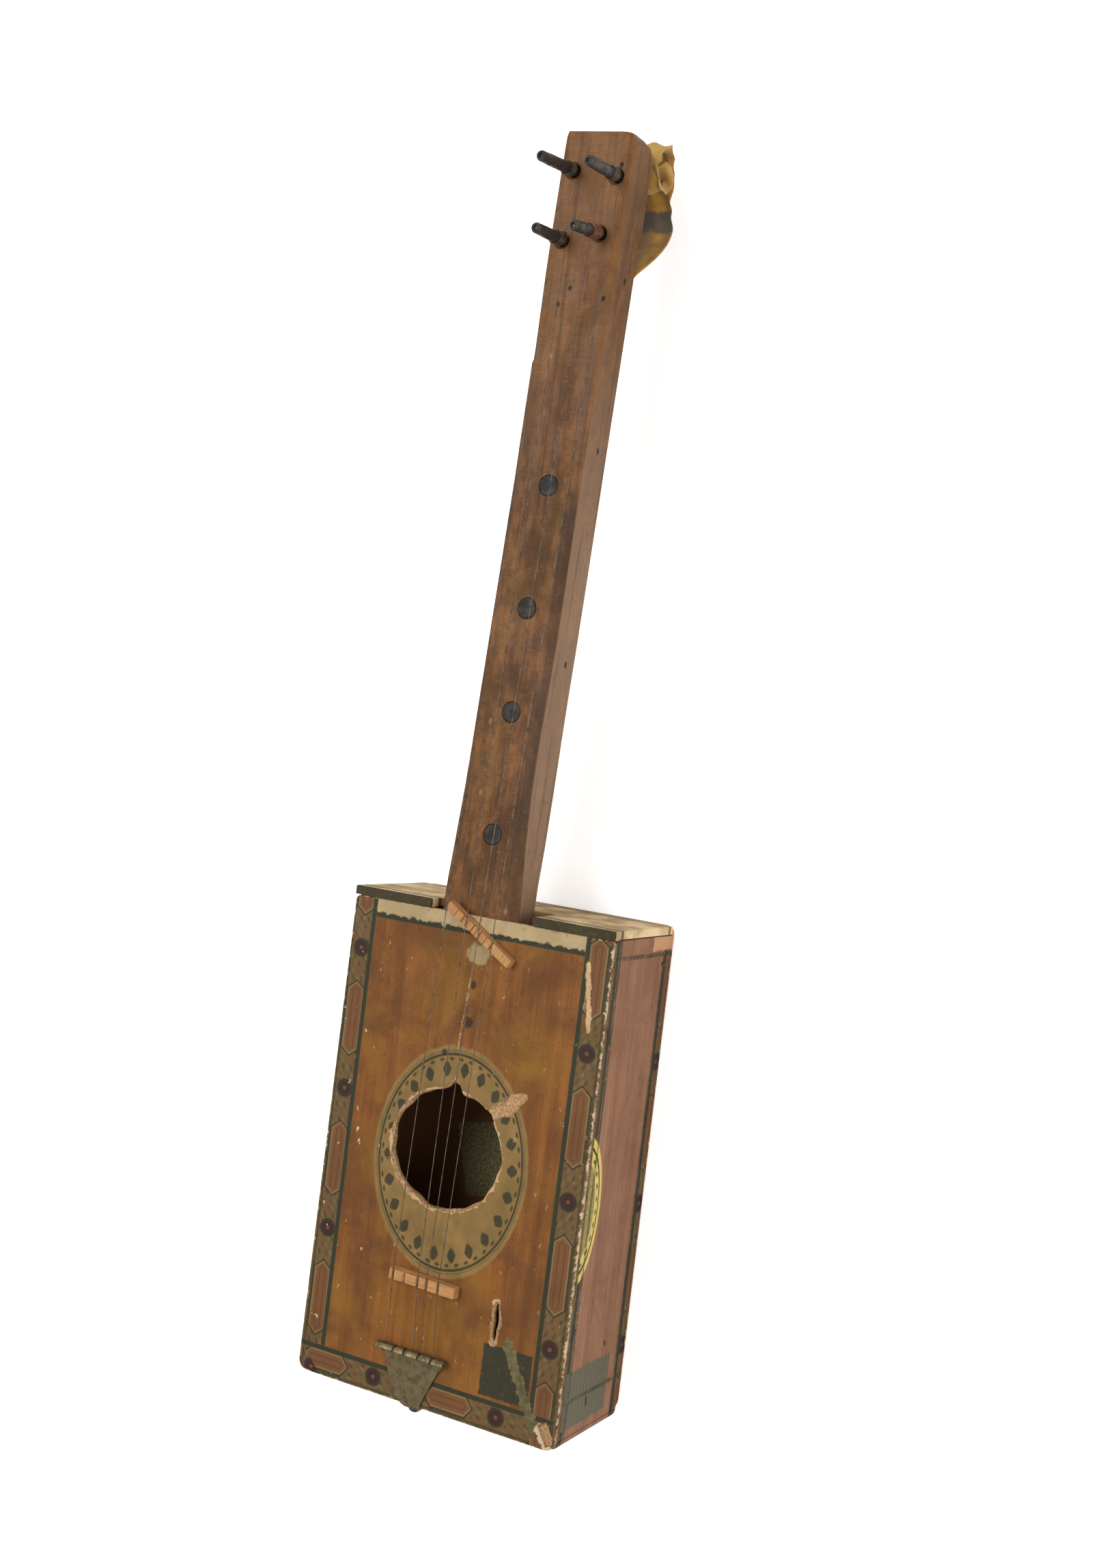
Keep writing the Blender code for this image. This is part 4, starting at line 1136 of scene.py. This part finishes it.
@dataclass(frozen=True)
class RibbonFinish(Finish):
    """Faded gold silk with a blue-grey patch and a fine rib."""

    gold: Colour = (0.50, 0.27, 0.045)
    brown: Colour = (0.26, 0.13, 0.026)
    faded: Colour = (0.58, 0.37, 0.13)
    grey: Colour = (0.085, 0.085, 0.082)
    grey_patch_middle: Pair = (431.0, 17.0)
    grey_patch_radii: Pair = (7.0, 7.0)
    ribs: float = 9.0

    def paint(self, g: Graph, fx: Effects) -> Surface:
        """Write the finish's nodes.

        Args:
            g: The material's graph.
            fx: The shared effects.

        Returns:
            What the shader takes.
        """
        _, y, z, place = g.place()
        cloud = g.use(fx.grime, Place=g.stretched(place, (3.0, 3.0, 3.0)))["Cloud"]
        colour = g.mix(cloud * 0.8, self.gold, self.brown)
        colour = g.mix(g.ramp(y, 440.0, 462.0, 0.0, 0.45), colour, self.faded)
        # A grey patch round one point of the roll.
        blotch = g.ellipse(y, z, self.grey_patch_middle, self.grey_patch_radii)
        wobble = (g.noise(place, 0.25, 3.0, 0.6) - 0.5) * 1.2
        colour = g.mix((blotch + wobble).below(1.0, 0.15) * 0.85, colour, self.grey)
        rib = g.math("SINE", y * self.ribs + z * self.ribs)
        return Surface(colour, 0.46, height=rib * 0.3 + cloud, relief_mm=0.05, sheen=0.35)


@dataclass
class FrameNodes:
    """The carried-over CAD nodes and how they are dressed."""

    frame: dict
    fx: Effects

    def dress(self, finish: Finish, *names: str) -> bpy.types.Material:
        """Give CAD nodes a finish.

        Args:
            finish: The finish.
            *names: The nodes.

        Returns:
            The material.
        """
        mat = finish.build(self.fx)
        for name in names:
            node = self.frame["nodes"][name]
            node.data.materials.clear()
            node.data.materials.append(mat)
            LOG.info("%s: %s", name, finish.name)
        return mat

    def refined(self, node: str, body: str, mat: bpy.types.Material, slot: str,
                levels: int = 1) -> bpy.types.Object:
        """Replace a soft or wound CAD node by a smoother piece of the same form.

        Args:
            node: The CAD node.
            body: The body that it rides on.
            mat: Its material.
            slot: The record's material slot; not used.
            levels: Subdivision levels.

        Returns:
            The new piece.
        """
        mesh = self.frame["nodes"][node].data.copy()
        bm = bmesh.new()
        bm.from_mesh(mesh)
        bmesh.ops.remove_doubles(bm, verts=bm.verts, dist=1e-6)
        bm.to_mesh(mesh)
        bm.free()
        piece = bpy.data.objects.new(f"{node}_fine", mesh)
        bpy.context.scene.collection.objects.link(piece)
        mesh.materials.clear()
        mesh.materials.append(mat)
        mesh.shade_smooth()
        if levels:
            smooth = piece.modifiers.new("smooth", "SUBSURF")
            smooth.levels = levels
            smooth.render_levels = levels
        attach(piece, body)
        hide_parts(node)
        LOG.info("%s replaces %s", piece.name, node)
        return piece


@dataclass
class Box(FrameNodes):
    """The cigar box, its nails and the sheet tailpiece."""

    nail_radius: float = 0.0011
    nail_dome: float = 0.45
    side_nail: Pair = (0.0975, 0.0105)
    side_nail_sunk: float = 0.0006
    end_nail: Pair = (0.0590, 0.0075)
    end_nail_sunk: float = 0.0004

    def build(self) -> None:
        """Dress the box and drive the nails that show."""
        self.dress(SoundboardFinish("stained_front"), "soundboard")
        self.dress(CaseFinish("papered_case"), "back_panel", "left_side", "right_side",
                   "tail_end_panel")
        self.dress(EndPaperFinish("yellowed_end"), "neck_end_panel")
        self.dress(MetalFinish("aged_brass_sheet", bright=(0.23, 0.175, 0.085),
                               dull=(0.105, 0.080, 0.042), metallic=0.75), "tailpiece")
        steel = self.dress(MetalFinish("blued_fittings"), "tailpiece_screw", "ribbon_tack")
        right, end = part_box("right_side"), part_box("neck_end_panel")
        along, height = self.side_nail
        seat = Vector((right[1].x - self.side_nail_sunk, along, height))
        self.nail("nail_right_back", seat, Vector((1.0, 0.0, 0.0)), steel)
        across, height = self.end_nail
        seat = Vector((across, end[1].y - self.end_nail_sunk, height))
        self.nail("nail_end_back", seat, Vector((0.0, 1.0, 0.0)), steel)

    def nail(self, name: str, seat: Vector, facing: Vector, mat: bpy.types.Material) -> None:
        """A small domed nail head set in the wood.

        Args:
            name: The piece's name.
            seat: Middle of the head's underside.
            facing: The way the head faces.
            mat: Its material.
        """
        bm = bmesh.new()
        bmesh.ops.create_uvsphere(bm, u_segments=16, v_segments=8, radius=self.nail_radius)
        bmesh.ops.scale(bm, verts=bm.verts, vec=(1.0, 1.0, self.nail_dome))
        turn = Vector((0.0, 0.0, 1.0)).rotation_difference(facing).to_matrix()
        bmesh.ops.rotate(bm, verts=bm.verts, cent=(0, 0, 0), matrix=turn)
        bmesh.ops.translate(bm, verts=bm.verts, vec=seat)
        mesh = bpy.data.meshes.new(name)
        bm.to_mesh(mesh)
        bm.free()
        mesh.shade_smooth()
        mesh.materials.append(mat)
        piece = bpy.data.objects.new(name, mesh)
        bpy.context.scene.collection.objects.link(piece)
        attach(piece, "instrument")
        LOG.info("%s", name)


@dataclass
class Neck(FrameNodes):
    """The plank, its dots, the loose stick and the ribbon behind the head."""

    dots: int = 4
    ribbon_area: float = 0.00382
    crease_from: float = 0.434
    crease_fade: float = 0.012
    crease_scale: float = 190.0
    crease_depth: float = 0.0030
    fine_scale: float = 2.3
    fine_share: float = 0.5
    fine_shift: Colour = (3.0, 1.0, 2.0)
    neck_clearance: float = 0.0006
    lowest: float = 0.0100

    def build(self) -> None:
        """Dress the neck and remake the ribbon."""
        self.dress(NeckFinish("hand_worn_plank"), "neck")
        self.dress(InlayFinish("dark_dots"),
                   *[f"position_dot_{i}" for i in range(1, self.dots + 1)])
        self.dress(StickFinish("whittled_nut", grain=Axis.ASLANT), "slipped_nut")
        silk = RibbonFinish("faded_gold_silk").build(self.fx)
        ribbon = self.refined("ribbon", "instrument", silk, "gold_ribbon", 2)
        self.crumple(ribbon)

    def crumple(self, ribbon: bpy.types.Object) -> None:
        """Press creases into the rolled part of the ribbon, clear of the neck.

        Nothing seeds this noise, so the creases change from run to run.

        Args:
            ribbon: The ribbon piece.
        """
        neck_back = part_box("neck")[0].z
        for vert in ribbon.data.vertices:
            share = min(1.0, max(0.0, (vert.co.y - self.crease_from) / self.crease_fade))
            crease = noise.noise_vector(vert.co * self.crease_scale)
            fine_place = vert.co * self.crease_scale * self.fine_scale + Vector(self.fine_shift)
            fine = noise.noise_vector(fine_place)
            vert.co += (crease + fine * self.fine_share) * self.crease_depth * share
            vert.co.z = min(vert.co.z, neck_back - self.neck_clearance)
            vert.co.z = max(vert.co.z, self.lowest)


@dataclass
class Stringing(FrameNodes):
    """Pins, turns of wire, free strings and the bridge under them."""

    count: int = 4

    def build(self) -> None:
        """Dress the pins and the bridge and remake the wires."""
        self.dress(StickFinish("whittled_bridge"), "bridge")
        self.dress(MetalFinish("blued_pins", bright=(0.095, 0.075, 0.062),
                               dull=(0.040, 0.032, 0.030), metallic=0.6),
                   *[f"tuning_pin_{i}" for i in range(1, self.count + 1)])
        wire = MetalFinish("tarnished_wire", bright=(0.19, 0.145, 0.105),
                           dull=(0.085, 0.062, 0.045), metallic=0.85, rough_low=0.45,
                           rough_high=0.65, relief=0.01).build(self.fx)
        copper = MetalFinish("copper_wire", bright=(0.36, 0.17, 0.095),
                             dull=(0.16, 0.075, 0.045), metallic=0.85,
                             relief=0.01).build(self.fx)
        for i in range(1, self.count + 1):
            last = i == self.count
            self.refined(f"string_winding_{i}", f"pin_{i}", copper if last else wire,
                         "copper_wire" if last else "string_wire")
            self.refined(f"string_{i}", "instrument", wire, "string_wire")


@dataclass
class Stage:
    """Pale floor, soft light and the camera at the photograph's angle."""

    lens_mm: float = 42.807
    camera_place: tuple[float, float, float] = (0.41713, 0.20233, 0.78236)
    camera_turn: tuple[float, float, float] = (1.8027, 28.5852, 8.0031)
    sensor_mm: float = 36.0
    nearest: float = 0.01
    floor_size: float = 8.0
    floor_middle: float = 0.15
    floor_drop: float = 0.0008
    floor_tone: Colour = (0.86, 0.86, 0.86)
    floor_rough: float = 0.9
    floor_glow: float = 0.52
    white: Colour = (1.0, 1.0, 1.0)
    world_strength: float = 0.50
    key_power: float = 17.0
    key_place: tuple[float, float, float] = (-0.55, 0.55, 1.55)
    key_size: float = 1.1
    fill_power: float = 9.0
    fill_place: tuple[float, float, float] = (1.25, 0.0, 0.75)
    fill_size: float = 0.8
    lamp_aim: tuple[float, float, float] = (0.0, 0.1, 0.03)

    def build(self) -> None:
        """Make the camera, the floor, the world and both lamps."""
        self.camera()
        self.floor()
        self.world()
        self.lamp("key", self.key_place, self.key_size, self.key_power)
        self.lamp("fill", self.fill_place, self.fill_size, self.fill_power)

    def camera(self) -> None:
        """Place the camera fitted to the box's corners in the photograph."""
        data = bpy.data.cameras.new("camera")
        data.lens = self.lens_mm
        data.sensor_width = self.sensor_mm
        data.sensor_fit = "AUTO"
        data.clip_start = self.nearest
        camera = bpy.data.objects.new("camera", data)
        camera.location = self.camera_place
        camera.rotation_euler = Euler([math.radians(a) for a in self.camera_turn], "XYZ")
        bpy.context.scene.collection.objects.link(camera)
        bpy.context.scene.camera = camera

    def floor(self) -> None:
        """Plain white floor with a faint shadow; it glows for the camera only."""
        bm = bmesh.new()
        bmesh.ops.create_grid(bm, x_segments=1, y_segments=1, size=self.floor_size / 2)
        bmesh.ops.translate(bm, verts=bm.verts,
                            vec=(0.0, self.floor_middle, -self.floor_drop))
        mesh = bpy.data.meshes.new("floor")
        bm.to_mesh(mesh)
        bm.free()
        mat = bpy.data.materials.new("white_floor")
        mat.use_nodes = True
        tree = mat.node_tree
        shader = tree.nodes["Principled BSDF"]
        shader.inputs["Base Color"].default_value = (*self.floor_tone, 1.0)
        shader.inputs["Roughness"].default_value = self.floor_rough
        shader.inputs["Emission Color"].default_value = (*self.white, 1.0)
        path = tree.nodes.new("ShaderNodeLightPath")
        lift = tree.nodes.new("ShaderNodeMath")
        lift.operation = "MULTIPLY"
        lift.inputs[1].default_value = self.floor_glow
        tree.links.new(path.outputs["Is Camera Ray"], lift.inputs[0])
        tree.links.new(lift.outputs[0], shader.inputs["Emission Strength"])
        mesh.materials.append(mat)
        floor = bpy.data.objects.new("floor", mesh)
        bpy.context.scene.collection.objects.link(floor)

    def world(self) -> None:
        """Even white surroundings: full white to the camera, weaker as light."""
        world = bpy.data.worlds.new("studio")
        bpy.context.scene.world = world
        world.use_nodes = True
        tree = world.node_tree
        back = tree.nodes["Background"]
        back.inputs["Color"].default_value = (*self.white, 1.0)
        path = tree.nodes.new("ShaderNodeLightPath")
        pick = tree.nodes.new("ShaderNodeMapRange")
        pick.inputs[3].default_value = self.world_strength
        pick.inputs[4].default_value = 1.0
        tree.links.new(path.outputs["Is Camera Ray"], pick.inputs[0])
        tree.links.new(pick.outputs[0], back.inputs["Strength"])

    def lamp(self, name: str, place: tuple[float, float, float], size: float,
             power: float) -> None:
        """Hang one large soft lamp aimed at the instrument.

        Args:
            name: The lamp's name.
            place: Where it hangs.
            size: Its diameter.
            power: Its power in watts.
        """
        data = bpy.data.lights.new(name, "AREA")
        data.shape = "DISK"
        data.size = size
        data.energy = power
        lamp = bpy.data.objects.new(name, data)
        lamp.location = place
        aim = Vector(self.lamp_aim) - Vector(place)
        lamp.rotation_euler = aim.to_track_quat("-Z", "Y").to_euler()
        bpy.context.scene.collection.objects.link(lamp)


def main() -> None:
    """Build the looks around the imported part."""
    logging.basicConfig(level=logging.INFO, format="%(name)s %(message)s")
    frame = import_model()
    scene = bpy.context.scene
    scene.view_settings.view_transform = "Standard"
    fx = Effects()
    for assembly in (Box(frame, fx), Neck(frame, fx), Stringing(frame, fx)):
        assembly.build()
    Stage().build()


if __name__ == "__main__":
    main()
